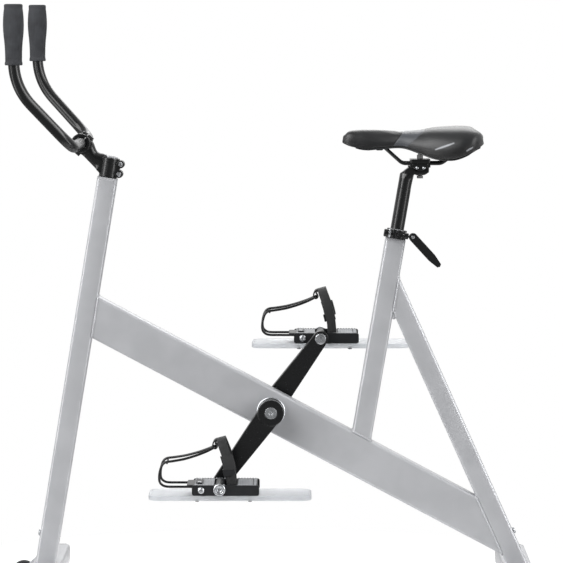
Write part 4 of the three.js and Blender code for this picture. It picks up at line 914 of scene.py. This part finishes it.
def makeStem(size):
    """Forged stem: its CAD form with every edge rounded, true round where it grips bar and steerer."""
    axis = unit(barMiddle - stemMiddle)
    gripped = [roundAbout(barMiddle, side, *size[key]) for key in ("clamp", "barBore")]
    rounds = [roundAbout(stemMiddle, postAxis, *size[key]) for key in ("boss", "steererBore")] + gripped
    ears = stemMiddle + postBack * size["earBehind"]
    rounds += [roundAbout(ears + postAxis * k * size["earApart"], side, *size["ear"]) for k in (-1, 1)]
    piece = cast("stem", voxel=0.6, passes=18,
                 shape=lambda mesh: ovalArm(mesh, stemMiddle, axis, *size["arm"], waist=size["waist"]))
    snapRound(piece.data, rounds)
    snapRound(cast("stem_faceplate", voxel=0.6, passes=18).data, gripped)
    for name in ("upper", "lower"):
        dressed(f"faceplate_bolt_{name}", "blackLacqueredAlloy", bevel=0.3, sharpAngle=40)
        dressed(f"stem_pinch_bolt_{name}", "stainlessSteel", bevel=0.35, sharpAngle=40, segments=3)


makeBar(barSet)
makeGrips(gripSet)
makeStem(stemSet)
say("bar, grips and stem")


# Crank set and pedals

pedalSet = {
    "front": -54.0, "rear": 78.0, "top": 8.5, "strapAt": 25.0, "strapGap": 12.0,
    # treads along the side plates, and across the two end bars
    "treads": 22, "treadPitch": 5.6, "tread": (3.4, 4.6), "treadRise": 1.0, "plateHalf": 47.0,
    "crossTreads": 13, "crossPitch": 6.4, "crossTread": (5.6, 3.4),
    # ribbed plates between the side plates, from and to
    "plates": (("front", -41.6, -11.0), ("rear", 35.6, 65.6)), "plate": (87.6, 2.6), "rib": (2.0, 84.0, 1.2),
    "ribPitch": 4.2,
    # the two blocks of the bracket on the front edge: middle, size and bevel
    "bracket": [((-52.0, 0, 4.6), (25.0, 74.0, 5.6), 1.2), ((-40.0, 0, 9.8), (13.0, 66.0, 3.6), 1.0)],
    # screws on the bracket and through the side plates, radius and height, and their places
    "topScrew": [(0, 10.6), (4.2, 10.6), (4.2, 12.2), (3.0, 12.8), (0, 12.8)], "topScrewAt": (-40.0, 22.0),
    "crossScrew": [(0, 50.0), (6.6, 50.0), (6.6, 51.0), (5.4, 51.2), (5.2, 53.0), (4.0, 53.8), (2.6, 53.8),
                   (2.4, 52.4), (0, 52.4)], "crossScrewAt": (-36.0, 0.0, -1.4),
}
bladeSet = {"front": -140.0, "rear": 181.0, "half": 52.0, "top": -12.3, "thick": 10.0, "corner": 22.0, "edge": 2.4,
            "rim": 5.5, "rimIn": 6.3, "sink": 0.7, "screws": ((-44.0, 40.0), (60.0, 40.0)), "screwRadius": 5.0,
            "screwDrop": 2.6}


# round surfaces as in stemSet
crankSet = {
    "boss": (24.0, 66.4, 0.5), "flange": (26.0, 67.6, 0.6), "bore": (12.4, 70.0, 0.6), "eye": (15.5, 65.5, 0.5),
    "cup": [(9.2, 34.0), (9.2, 39.2), (20.0, 39.2), (22.0, 38.5), (27.0, 38.5), (28.4, 37.8), (28.4, 35.4),
            (17.0, 35.4), (17.0, 26.0), (9.2, 26.0)],
    # nut behind the crank, shaft through the pedal, and the bright head outside it
    "spindle": [(0, 42.8), (7.0, 42.8), (11.0, 43.6), (11.0, 47.6), (6.0, 47.6), (6.0, 178.4), (11.8, 178.4),
                (11.8, 183.2), (10.4, 184.2), (8.0, 184.2), (7.2, 183.0), (4.6, 182.6), (4.0, 181.0), (3.4, 180.6),
                (0, 180.6)],
}


def makeCrankSet(size):
    """Forged cranks: true round at boss and eye; the bolts, cups and spindles are turned."""
    for hand, s, middle, _ in pedals:
        eye = middle * [1, 0, 1]
        piece = cast(f"{hand}_crank", voxel=0.9, passes=6)
        snapRound(piece.data, [roundAbout(crankMiddle, side, *size[key]) for key in ("boss", "flange", "bore")]
                  + [roundAbout(eye, side, *size["eye"])])
        dressed(f"{hand}_crank_bolt", "stainlessSteel", bevel=0.45, sharpAngle=40, segments=3)
        turnedPiece(f"{hand}_cup_turned", size["cup"], side * s, crankMiddle, "frame",
                    replace=(f"{hand}_bearing_cup",), sides=96, bevel=0.4, closed=True)
        turnedPiece(f"{hand}_spindle_turned", size["spindle"], side * s, eye, "cranks",
                    replace=(f"{hand}_pedal_spindle",), sides=72, bevel=0.5)
    dressed("crank_axle", "stainlessSteel", bevel=0.4, sharpAngle=40)
    dressed("bottom_bracket_shell", "silverPowderCoat", sharpAngle=40, segments=3)


def softBlock(middle, size, bevel=0.6):
    """Points and faces of a block with chamfered edges."""
    hx, hy, hz = np.array(size) / 2
    points = [(x, y, z) for z, inset in ((-hz, bevel), (-hz + bevel, 0.0), (hz - bevel, 0.0), (hz, bevel))
              for x, y in roundedBox(hx - inset, hy - inset, max(0.35, min(bevel, hx - inset, hy - inset)), 3)]
    return np.array(points) + middle, cappedFaces(4, 12)


def blockPiece(name, blocks, body, material):
    """Several blocks as one piece; each is a middle, a size and a bevel."""
    points, faces, count = [], [], 0
    for some, ring in (softBlock(*block) for block in blocks):
        points.append(some)
        faces += [tuple(v + count for v in face) for face in ring]
        count += len(some)
    return build(name, np.concatenate(points), faces, body, material, (), 30)


def makePedals(size):
    top, rise = size["top"], size["treadRise"]
    # small treads along the side plates' tops, apart from the strap's place, and a ribbed bar at each end
    along = [size["front"] + 7.0 + k * size["treadPitch"] for k in range(size["treads"])]
    half = (size["crossTreads"] - 1) // 2
    spots = [(x, edge * size["plateHalf"], size["tread"]) for edge in (-1, 1) for x in along
             if abs(x - size["strapAt"]) >= size["strapGap"]]
    spots += [(x, (k - half) * size["crossPitch"], size["crossTread"])
              for x in (size["front"] + 8.0, size["rear"] - 8.0) for k in range(size["crossTreads"])]
    treads = [((x, y, top + rise / 2 - 0.2), (long, wide, rise + 0.6)) for x, y, (long, wide) in spots]
    screwX, screwY = size["topScrewAt"]
    for hand, s, middle, body in pedals:
        dressed(f"{hand}_pedal_body", "blackNylon", bevel=0.9, sharpAngle=30, segments=3)
        # pale tread plates ahead of and behind the strap, ribbed across
        for name, x0, x1 in size["plates"]:
            plate = [(middle + [(x0 + x1) / 2, 0, top - 1.7], (x1 - x0, *size["plate"]), 0.5)]
            plate += [(middle + [x0 + 2.8 + k * size["ribPitch"], 0, top - 0.3], size["rib"], 0.3)
                      for k in range(int((x1 - x0) / size["ribPitch"]))]
            blockPiece(f"{hand}_pedal_tread_{name}", plate, body, "greyTread")
        blockPiece(f"{hand}_pedal_treads", [(middle + place, block, 0.35) for place, block in treads], body,
                   "greyTread")
        # flat bracket that holds the cage's wires, with two screws on top
        bracket = [(middle + place, block, bevel) for place, block, bevel in size["bracket"]]
        blockPiece(f"{hand}_cage_bracket", bracket, body, "blackNylon")
        places = ((-1, "inner" if s > 0 else "outer"), (1, "outer" if s > 0 else "inner"))
        for edge, place in places:
            turnedPiece(f"{hand}_bracket_screw_{place}", size["topScrew"], (0, 0, 1),
                        middle + [screwX, edge * screwY, 0], body, sides=32, bevel=0.3)
        # ahead of the spindle, with their washers: they hold the cage's foot bar
        for edge, place in places:
            turnedPiece(f"{hand}_pedal_screw_{place}", size["crossScrew"], side * edge,
                        middle + size["crossScrewAt"], body, sides=40, bevel=0.35)


def bladeRing(size, inset, z):
    """The blade's outline, drawn in by a distance, at a height."""
    front, rear = size["front"] + inset, size["rear"] - inset
    line = roundedBox((rear - front) / 2, size["half"] - inset, size["corner"] - inset, 10) + [(rear + front) / 2, 0]
    return np.column_stack([line, np.full(len(line), z)])


def makeBlades(size):
    """Paddle blades: rounded outline, rounded edges, four countersunk screws from below."""
    edge, thick, sink = size["edge"], size["thick"], size["sink"]
    rings = []
    for t in np.linspace(0, math.pi, 9):
        # four steps over each edge, and one at half height between them
        rise = (thick / 2 - edge) * np.sign(math.cos(t)) * (abs(math.cos(t)) > 0.01) + edge * math.cos(t)
        rings.append(bladeRing(size, edge * (1 - math.sin(t)), size["top"] - thick / 2 + rise))
    # a shallow step inside the rim, above and below, as moulded blades have
    above, below = rings[0][0][2], rings[-1][0][2]
    rings = ([bladeRing(size, size["rimIn"], above - sink), bladeRing(size, size["rim"], above)] + rings
             + [bladeRing(size, size["rim"], below), bladeRing(size, size["rimIn"], below + sink)])
    radius, drop = size["screwRadius"], -size["screwDrop"]
    screw = [(0, 3.0), (2.4, 3.0), (2.4, 0.0), (radius, 0.0), (radius, -0.6), (3.6, drop + 0.3), (2.0, drop),
             (1.8, -1.2), (0, -1.2)]
    for hand, _, middle, body in pedals:
        facingOut(build(f"{hand}_blade", np.concatenate(rings) + middle, cappedFaces(len(rings), len(rings[0])), body,
                        "frostedPolycarbonate", (f"{hand}_paddle",), 40))
        for x, y in size["screws"]:
            for row, k in (("a", -1), ("b", 1)):
                turnedPiece(f"{hand}_blade_screw_{'front' if x < 0 else 'rear'}_{row}", screw, (0, 0, 1),
                            middle + [x, k * y, size["top"] - thick], body, "blackNylon", sides=28, bevel=0.3)


cageSet = {
    "wire": 2.5, "crossWire": 1.9,
    # one side of the wire from the pedal's front bar round the toe to the strap: ahead, sideways, up
    "line": [(-50.3, 30.0, 3.0), (-80.0, 30.0, 3.0), (-104.0, 30.0, 3.4), (-113.5, 30.0, 7.0), (-118.2, 30.0, 14.0),
             (-118.6, 30.0, 26.0), (-116.4, 30.0, 37.0), (-112.6, 30.0, 46.4), (-105.4, 29.8, 51.6),
             (-91.0, 28.8, 53.8), (-69.0, 26.2, 57.6), (-45.0, 22.0, 64.4), (-26.0, 17.5, 71.4), (-12.8, 12.6, 77.6),
             (-9.8, 7.0, 79.6), (-9.2, 0.0, 80.2)],
    "cross": (-103.6, 27.4, 48.8),
}
strapSet = {
    "half": 37.0, "top": 97.0, "width": 18.0, "thick": 2.3,
    # up from the pedal's top, and how far behind the spindle the strap is there
    "heights": [0.0, 12.0, 26.0, 40.0, 54.0, 68.0, 80.0, 88.0],
    "places": [23.6, 23.0, 21.2, 18.2, 14.2, 9.2, 4.8, 2.6],
    # the loop that ties the strap to the cage's top wire: ahead and up
    "loop": [(3.0, 94.4), (-4.0, 94.2), (-9.2, 92.2), (-12.2, 88.0), (-13.8, 83.6), (-13.6, 79.2), (-10.9, 76.1),
             (-7.4, 76.2), (-5.0, 79.4), (-6.2, 83.2), (-9.0, 87.2), (-6.8, 90.0), (-2.4, 91.4), (4.0, 91.6)],
    "loopWidth": 23.0, "loopThick": 2.6,
    # the folded webbing over the buckle: from and to on the strap's outer side, and its swelling
    "fold": (30, 58), "foldWidth": 24.0, "foldThick": 4.6, "foldSwell": 1.6,
    # the tail: from on the strap, short of its top by, off it at the start and what it leans out more
    "tail": (18.0, 8.0, 2.7, 4.5),
}


def strapPlace(middle, across, up):
    """A place on the strap: sideways from its middle line, and up from the pedal's top, curving forward."""
    x = np.interp(up, strapSet["heights"], strapSet["places"])
    return middle + np.array([x, across, pedalSet["top"] + up])


def makeCages(size):
    line = np.array(size["line"])
    line = np.vstack([line, line[-2::-1] * [1, -1, 1]])
    # a second wire crosses between the two sides at the toe's crown
    x, y, z = size["cross"]
    for hand, _, middle, body in pedals:
        tube(f"{hand}_cage_wire", smoothLine(middle + line, 420), size["wire"], body, "blackLacqueredAlloy",
             sides=16, replace=(f"{hand}_toe_cage",), roundEnds=1.0)
        tube(f"{hand}_cage_cross", np.linspace(middle + [x, -y, z], middle + [x, y, z], 30), size["crossWire"], body,
             "blackLacqueredAlloy", sides=14, roundEnds=0.8)


def ribbon(name, path, widthDirs, width, thick, body, replace=()):
    """A band of webbing along a path, its width in the given directions, its edges rounded."""
    outward = np.cross(widthDirs, frames(path)[0])
    outward /= np.linalg.norm(outward, axis=1)[:, None]
    section = roundedBox(width / 2, thick / 2, thick * 0.42, 4)
    points = (path[:, None, :] + section[None, :, 0, None] * widthDirs[:, None, :]
              + section[None, :, 1, None] * outward[:, None, :]).reshape(-1, 3)
    uv = np.stack([np.tile(section[:, 0], len(path)), np.repeat(runAlong(path), len(section))], axis=1) * mm
    return facingOut(build(name, points, cappedFaces(len(path), len(section)), body, "nylonWebbing", replace, 60, uv))


def widthAlong(points):
    """The band's width direction on each side: square to its climb, and in the side plane."""
    rise = np.gradient(points[:, 2])
    lean = np.interp(points[:, 2] - points[:, 2].min(), strapSet["heights"],
                     np.gradient(strapSet["places"], strapSet["heights"]))
    direction = np.stack([np.ones_like(rise), np.zeros_like(rise), -lean], axis=1)
    return direction / np.linalg.norm(direction, axis=1)[:, None]


def makeStraps(size):
    """Webbing over the foot: an arch that curves forward, and a tail out of the buckle that stands off it."""
    rise, wide, thick = size["top"] - pedalSet["top"], size["half"], size["thick"]
    shares = [(1, 0.005), (1, 0.2), (1, 0.38), (0.97, 0.64), (0.8, 0.85), (0.42, 0.97), (0, 1)]
    half = [(wide * a, rise * b) for a, b in shares]
    arch = half + [(-y, z) for y, z in half[-2::-1]]
    ups = np.linspace(*size["fold"], 16)
    swell = size["foldSwell"] * np.sin(np.linspace(0, math.pi, 16))
    low, short, gap, lean = size["tail"]
    for hand, s, middle, body in pedals:
        path = smoothLine(np.array([strapPlace(middle, y, z) for y, z in arch]), 110)
        ribbon(f"{hand}_strap_band", path, widthAlong(path), size["width"], thick, body, (f"{hand}_strap",))
        loop = smoothLine(np.array([middle + [x, 0.0, z] for x, z in size["loop"]]), 60)
        ribbon(f"{hand}_strap_loop", loop, np.tile(side, (len(loop), 1)), size["loopWidth"], size["loopThick"], body)
        # folded webbing over the buckle, on the outer side
        fold = np.array([strapPlace(middle, s * (wide * 0.99 + 3.4 + out), up) for up, out in zip(ups, swell)])
        ribbon(f"{hand}_strap_fold", fold, widthAlong(fold), size["foldWidth"], size["foldThick"], body)
        tail = []
        for t in np.linspace(0, 1, 26):
            up = low + t * (rise * 0.86 - short)
            lay = wide * np.interp(up / rise, [0.005, 0.38, 0.64, 0.85, 0.97], [1, 1, 0.98, 0.86, 0.7])
            tail.append(strapPlace(middle, s * (lay + gap + lean * t ** 3), up))
        path = smoothLine(np.array(tail), 60)
        ribbon(f"{hand}_strap_tail", path, widthAlong(path), size["width"] - 1.0, thick - 0.5, body)
        dressed(f"{hand}_buckle", "blackNylon", bevel=0.5, sharpAngle=30, segments=3)


def smoothLine(points, count):
    """Catmull-Rom curve through points, sampled evenly."""
    padded = np.vstack([2 * points[0] - points[1], points, 2 * points[-1] - points[-2]])
    out = []
    for k in range(len(points) - 1):
        a, b, c, d = padded[k:k + 4]
        for t in np.linspace(0, 1, 12, endpoint=False):
            out.append(0.5 * ((2 * b) + (c - a) * t + (2 * a - 5 * b + 4 * c - d) * t ** 2
                              + (3 * b - a - 3 * c + d) * t ** 3))
    return evenly(np.array(out + [points[-1]]), count)


makeCrankSet(crankSet)
makePedals(pedalSet)
makeBlades(bladeSet)
makeCages(cageSet)
makeStraps(strapSet)
say("cranks, pedals, blades, cages and straps")


# Seatpost, its quick-release collar, and the saddle's clamp and rails

# round surfaces as in stemSet, the tube's with its lower end; the neck's section as the stem's arm, in full
postSet = {"tube": (13.6, 105.0, 1.9, -300.0), "neck": (103.4, 143.0, 14.0, (1.2, 9.0), 1.0),
           "eye": (25.0, 13.0, 0.8), "bore": (15.3, 13.0, 0.8)}
collarSet = {"above": 13.6, "outer": (20.2, 8.4, 0.8), "bore": (16.2, 12.0, 0.6), "skewerAt": -26.5, "nutAt": -19.6}
railSet = {
    "radius": 3.5,
    # behind the clamp, above it and sideways, from the tail's socket to the nose's
    "line": [(84.0, 22.0, 30.0), (70.0, 22.0, 30.0), (42.0, 0.0, 22.0), (-36.0, 0.0, 22.0), (-70.0, 30.5, 12.0)],
    "bend": 7.0,
    # the sockets' middles
    "sockets": [(91.3, -30.0, 23.75), (91.3, 30.0, 23.75), (-81.1, 0.0, 32.25)], "socket": 14.0,
}


def makeSeatpost(size):
    """Forged head on a round tube, its neck as round as the tube up to the bend."""
    piece = cast("seatpost", voxel=1.0, passes=16,
                 shape=lambda mesh: ovalArm(mesh, seatTop, seatAxis, *size["neck"]))
    snapRound(piece.data, [roundAbout(seatTop, seatAxis, *size["tube"])]
              + [roundAbout(clampMiddle, side, *size[key]) for key in ("eye", "bore")])


def makeCollar(size):
    middle = seatTop + seatAxis * size["above"]
    piece = cast("seat_collar", voxel=0.6, passes=6)
    snapRound(piece.data, [roundAbout(middle, seatAxis, *size[key]) for key in ("outer", "bore")])
    cast("collar_lever", voxel=0.4, passes=18)
    dressed("collar_skewer", "blackLacqueredAlloy", bevel=0.3)
    # a bright ring behind the nut, and a barrel round the skewer up to the lever
    low = middle + side * size["skewerAt"]
    pivot = (leverPivot - low).dot(seatBack)
    ring = [(4.0, -16.4), (8.6, -16.4), (8.6, -12.6), (4.0, -12.6)]
    turnedPiece("nut_ring", ring, seatBack, low, "frame", sides=56, bevel=0.4, closed=True)
    barrel = [(3.0, 15.0), (6.4, 15.0), (6.4, pivot - 10.4), (5.0, pivot - 9.2), (3.0, pivot - 9.2)]
    turnedPiece("skewer_barrel", barrel, seatBack, low, "frame", "blackLacqueredAlloy", sides=48, bevel=0.4,
                closed=True)
    # the round adjusting nut in front, and the dull pin of the lever
    nut = [(0, -6.4), (6.4, -6.4), (7.9, -5.2), (7.9, 5.2), (6.4, 6.4), (0, 6.4)]
    turnedPiece("collar_nut", nut, seatBack, low + seatBack * size["nutAt"], "frame", "blackLacqueredAlloy",
                sides=48, bevel=0.6)
    pin = [(0, -5.3), (3.2, -5.3), (3.2, 5.3), (0, 5.3)]
    turnedPiece("lever_pin", pin, side, leverPivot, "collar_lever", sides=40, bevel=0.6)


def makeSaddleClamp():
    lower = cast("saddle_clamp_lower", voxel=0.6, passes=5)
    snapRound(lower.data, [roundAbout(clampMiddle, side, 15.0, 30.0, 0.7)])
    cast("saddle_clamp_upper", voxel=0.6, passes=5)
    dressed("saddle_clamp_bolt", "blackLacqueredAlloy", bevel=0.35)
    # two small bright screws on each end of the lower clamp
    screw = [(0, 27.6), (2.7, 27.6), (2.7, 29.6), (1.7, 30.1), (0, 30.1)]
    for name, behind in (("front", -6.6), ("rear", 7.0)):
        for hand, s in hands:
            turnedPiece(f"clamp_screw_{name}_{hand}", screw, side * s, clampMiddle + [behind, 0, -8.6],
                        "saddle_clamp", sides=32, bevel=0.3)


def makeRails(size):
    """Saddle rails: one smooth wire from tail to nose and back."""
    corners = [clampMiddle + [x, y, z] for x, z, y in size["line"]]
    corners += [clampMiddle + [x, -y, z] for x, z, y in size["line"][::-1]]
    tube("saddle_rail_wire", roundPath(corners, [size["bend"]] * 8, 1.6), size["radius"], "saddle",
         "blackLacqueredAlloy", sides=22, replace=("saddle_rails",), roundEnds=1.0)


makeSeatpost(postSet)
makeCollar(collarSet)
makeSaddleClamp()
makeRails(railSet)
say("seatpost, collar, lever, clamp and rails")


# Saddle: the CAD's form from the same tables, its cover blown up by a short cloth run, with a smooth base shell

saddleSet = {
    "nose": 140.47, "floor": 896.0, "length": 286.0, "halfWidth": 78.0, "depth": 66.0,
    "stations": [0, 0.037, 0.12, 0.271, 0.435, 0.547, 0.635, 0.715, 0.785, 0.862, 0.936, 0.978, 1],
    "half": [0.09, 0.2, 0.26, 0.29, 0.41, 0.59, 0.77, 0.9, 0.975, 1, 0.9, 0.66, 0.4],
    "crown": [0.7, 0.83, 0.89, 0.88, 0.85, 0.88, 0.955, 0.985, 1, 1, 0.94, 0.85, 0.74],
    "edge": [0.5, 0.42, 0.32, 0.35, 0.38, 0.21, 0.06, 0.008, 0.02, 0.14, 0.33, 0.42, 0.5],
    # half of a section, crown to rim and rim to the middle of the hollow: share of the width, share of the height
    "top": [(0, 1), (0.3, 0.985), (0.58, 0.93), (0.8, 0.82), (0.94, 0.62), (1, 0.38), (0.985, 0.16), (0.92, 0)],
    "hollow": [(0.82, 0.06), (0.6, 0.24), (0.3, 0.38), (0, 0.42)],
    # the cover's grid; how far its start is pulled in, its hollow lifted and its swelling capped, in millimetres
    "around": 30, "along": 76, "pull": 0.8, "lift": 1.0, "cap": 2.0, "frames": 12, "pressure": 4.0, "stiff": 30.0,
    # the printed band's corners, the marks' ends and half widths, and the sewn grooves' half width and depth
    "band": [(244.0, 925.0), (274.0, 925.0), (302.0, 952.0), (264.0, 952.0)],
    "lines": [((326.5, 918.4), (362.0, 931.4), 1.7), ((387.5, 916.4), (399.5, 923.4), 1.5)],
    "seam": 0.8, "seamDepth": 0.5,
    # the base shell: from and to along the saddle, thickness at its ends and what its middle has more
    "shell": (0.1, 0.965), "shellThick": (1.2, 2.8),
}


def throughTable(places, values, want):
    """Smooth curve through a table: cubic Hermite pieces with the table's own slopes."""
    places, values = np.asarray(places, float), np.asarray(values, float)
    slopes = np.gradient(values, places)
    i = np.clip(np.searchsorted(places, want) - 1, 0, len(places) - 2)
    gap = places[i + 1] - places[i]
    t = (want - places[i]) / gap
    return ((2 * t ** 3 - 3 * t ** 2 + 1) * values[i] + (t ** 3 - 2 * t ** 2 + t) * gap * slopes[i]
            + (3 * t ** 2 - 2 * t ** 3) * values[i + 1] + (t ** 3 - t ** 2) * gap * slopes[i + 1])


def saddleTables(share):
    """Half width, crown and lower edge of the section at a share of the length."""
    return [throughTable(saddleSet["stations"], saddleSet[key], share) for key in ("half", "crown", "edge")]


def saddlePlace(share, wide, high):
    """Points of one section: across by shares of the half width, up from the lower edge to the crown."""
    size = saddleSet
    half, crown, edge = saddleTables(share)
    # the hollow closes downwards at nose and tail
    closed = np.clip(max(0.1 - share, share - 0.9) / 0.08, 0, 1) * np.clip((0.92 - abs(wide)) / 0.1, 0, 1)
    high = np.where(high < 0.5, high * (1 - 0.8 * closed), high)
    x = np.full_like(wide, size["nose"] + size["length"] * share + shift)
    z = size["floor"] + size["depth"] * (edge + (crown - edge) * high)
    return np.stack([x, size["halfWidth"] * half * wide, z], axis=1)


def halfSection(rows, count):
    """Even points through a half section's rows, which start and end square to the middle plane."""
    rows = np.array(rows, float)
    line = np.vstack([rows[[1]] * [-1, 1], rows, rows[[-2]] * [-1, 1]])
    run = runAlong(line)
    want = np.linspace(run[1], run[-2], count)
    return throughTable(run, line[:, 0], want), throughTable(run, line[:, 1], want)


def blownUp(rough, size):
    """A rough form swollen by cloth pressure, with its hollow kept and each move capped, then made finer."""
    holder = linked("cushion", rough)
    start = placesOf(rough)
    cloth = holder.modifiers.new("cloth", "CLOTH").settings
    cloth.use_pressure = True
    cloth.uniform_pressure_force = size["pressure"]
    cloth.effector_weights.gravity = 0.0
    cloth.tension_stiffness = cloth.compression_stiffness = size["stiff"]
    cloth.quality = 6
    for frameNumber in range(1, size["frames"] + 1):
        scene.frame_set(frameNumber)
    move = placesOf(holder.evaluated_get(bpy.context.evaluated_depsgraph_get()).data) - start
    scene.frame_set(1)
    far = np.linalg.norm(move, axis=1)
    free = np.clip((normalsOf(rough)[:, 2] + 0.55) / 0.5, 0, 1)
    move *= (np.minimum(far, size["cap"]) / np.maximum(far, 1e-6) * free)[:, None]
    movePlaces(rough, start + move)
    holder.modifiers.clear()
    smoothed(holder, 4)
    fine = holder.modifiers.new("fine", "SUBSURF")
    fine.levels = fine.render_levels = 2
    result = settled(holder)
    bpy.data.objects.remove(holder)
    say(f"cushion: {len(result.vertices)} points, moved up to {min(far.max(), size['cap']):.1f} mm")
    return result


def normalsOf(mesh):
    return np.array([v.normal for v in mesh.vertices])


def toLine(x, z, start, end):
    """Signed distance of points in the side plane from the line through two places."""
    (x0, z0), (x1, z1) = start, end
    return ((x - x0) * (z1 - z0) - (z - z0) * (x1 - x0)) / math.hypot(x1 - x0, z1 - z0)


def toSegment(x, z, start, end):
    """Distance of points in the side plane from a line between two places, and the share along it."""
    (x0, z0), (x1, z1) = start, end
    dx, dz = x1 - x0, z1 - z0
    t = np.clip(((x - x0) * dx + (z - z0) * dz) / (dx * dx + dz * dz), 0, 1)
    return np.hypot(x - x0 - t * dx, z - z0 - t * dz), t


def coverForm(size):
    """The cover before it swells: pulled in a little all round, with its hollow lifted off the base."""
    count = size["around"]
    wide, high = halfSection(size["top"] + size["hollow"], count)
    wide = np.concatenate([wide, -wide[-2:0:-1]])
    high = np.concatenate([high, high[-2:0:-1]])
    along = np.linspace(0, 1, size["along"])
    shares = 0.65 * along + 0.35 * (0.5 - 0.5 * np.cos(math.pi * along))
    points = np.array([saddlePlace(share, wide, high) for share in shares])
    middle = points.mean(axis=1, keepdims=True)
    inward = middle - points
    points += inward / np.maximum(np.linalg.norm(inward, axis=2, keepdims=True), 1e-6) * size["pull"]
    points[[0, -1]] = middle[[0, -1]] + (points[[0, -1]] - middle[[0, -1]]) * 0.72
    hollow = np.linspace(0, 1, count) > 0.66
    points[:, np.concatenate([hollow, hollow[-2:0:-1]]), 2] += size["lift"]
    rough = bpy.data.meshes.new("saddle_rough")
    rough.from_pydata((points.reshape(-1, 3) * mm).tolist(), [], cappedFaces(len(points), len(wide)))
    work = bmesh.new()
    work.from_mesh(rough)
    bmesh.ops.recalc_face_normals(work, faces=work.faces)
    # nose and tail flow round their flat ends
    nose = size["nose"] + shift
    tips = [v for v in work.verts if not nose + 9.0 < v.co.x / mm < nose + size["length"] - 12.0]
    for _ in range(3):
        bmesh.ops.smooth_vert(work, verts=tips, factor=0.5, use_axis_x=True, use_axis_y=True, use_axis_z=True)
    work.to_mesh(rough)
    work.free()
    return rough


def makeCover(size):
    """The blown-up cover, with sewn grooves and the masks of its printed band, marks and ribs; the ribs' mask also
    paints shade on the lower rear flanks.
    """
    mesh = blownUp(coverForm(size), size)
    places, normals = placesOf(mesh), normalsOf(mesh)
    x, z = places[:, 0] - shift, places[:, 2]
    # the slanting band lies between two lines, and its edges are sewn
    lowFront, lowRear, highRear, highFront = size["band"]
    front, rear = toLine(x, z, lowFront, highFront), toLine(x, z, lowRear, highRear)
    band = np.clip(np.minimum(front, -rear) / 0.8 + 0.5, 0, 1) * (normals[:, 2] > -0.6)
    groove = np.exp(-(front / size["seam"]) ** 2) + np.exp(-(rear / size["seam"]) ** 2)
    groove = np.minimum(groove, 1) * (normals[:, 2] > -0.5)
    marks = np.zeros(len(x))
    for start, end, width in size["lines"]:
        distance, t = toSegment(x, z, start, end)
        taper = width * (0.55 + 0.45 * np.sin(np.pi * np.clip(t, 0.02, 0.98)))
        marks = np.maximum(marks, np.clip((taper - distance) / 1.5 + 0.5, 0, 1) * (abs(normals[:, 1]) > 0.25))
    share = (x - size["nose"]) / size["length"]
    _, crown, edge = saddleTables(np.clip(share, 0, 1))
    up = (z - size["floor"] - size["depth"] * edge) / (size["depth"] * (crown - edge))
    # the ribbed grip low on the rear flanks, where the colour is also darkened as painted shade
    grip = (np.clip((share - 0.5) / 0.05, 0, 1) * np.clip((0.42 - up) / 0.12, 0, 1)
            * np.clip((up + 0.02) / 0.05, 0, 1))
    movePlaces(mesh, places - normals * (size["seamDepth"] * groove)[:, None])
    for name, values in (("band", band), ("line", marks), ("grip", grip)):
        layer = mesh.attributes.new(name, "FLOAT", "POINT")
        layer.data.foreach_set("value", values.astype(np.float32))
    cover = finishMesh("saddle_cushion", mesh, "saddle", "saddleVinyl", ("saddle_cover",), 180)


def makeBase(size):
    """Moulded shell that follows the hollow, thinner towards nose and tail, and the rails' three sockets."""
    wide, high = halfSection(size["hollow"], 18)
    wide = np.concatenate([wide, -wide[-2::-1]])
    high = np.concatenate([high, high[-2::-1]])
    (front, rear), (least, more) = size["shell"], size["shellThick"]
    shares = np.linspace(front, rear, 96)
    upper = np.array([saddlePlace(share, wide, high) for share in shares]) - [0, 0, 0.5]
    thick = least + more * np.clip(np.minimum(shares - front, rear - shares) / 0.09, 0, 1)
    lower = upper[:, ::-1] - thick[:, None, None] * [0, 0, 1.0]
    points = np.concatenate([upper, lower], axis=1)
    facingOut(build("saddle_base_shell", points.reshape(-1, 3), cappedFaces(len(shares), points.shape[1]), "saddle",
                    "blackNylon", ("saddle_base",), 50))
    blockPiece("saddle_rail_sockets", [(clampMiddle + place, (railSet["socket"],) * 3, 1.6)
                                       for place in railSet["sockets"]], "saddle", "blackNylon")


makeCover(saddleSet)
makeBase(saddleSet)
say("saddle cushion and base")
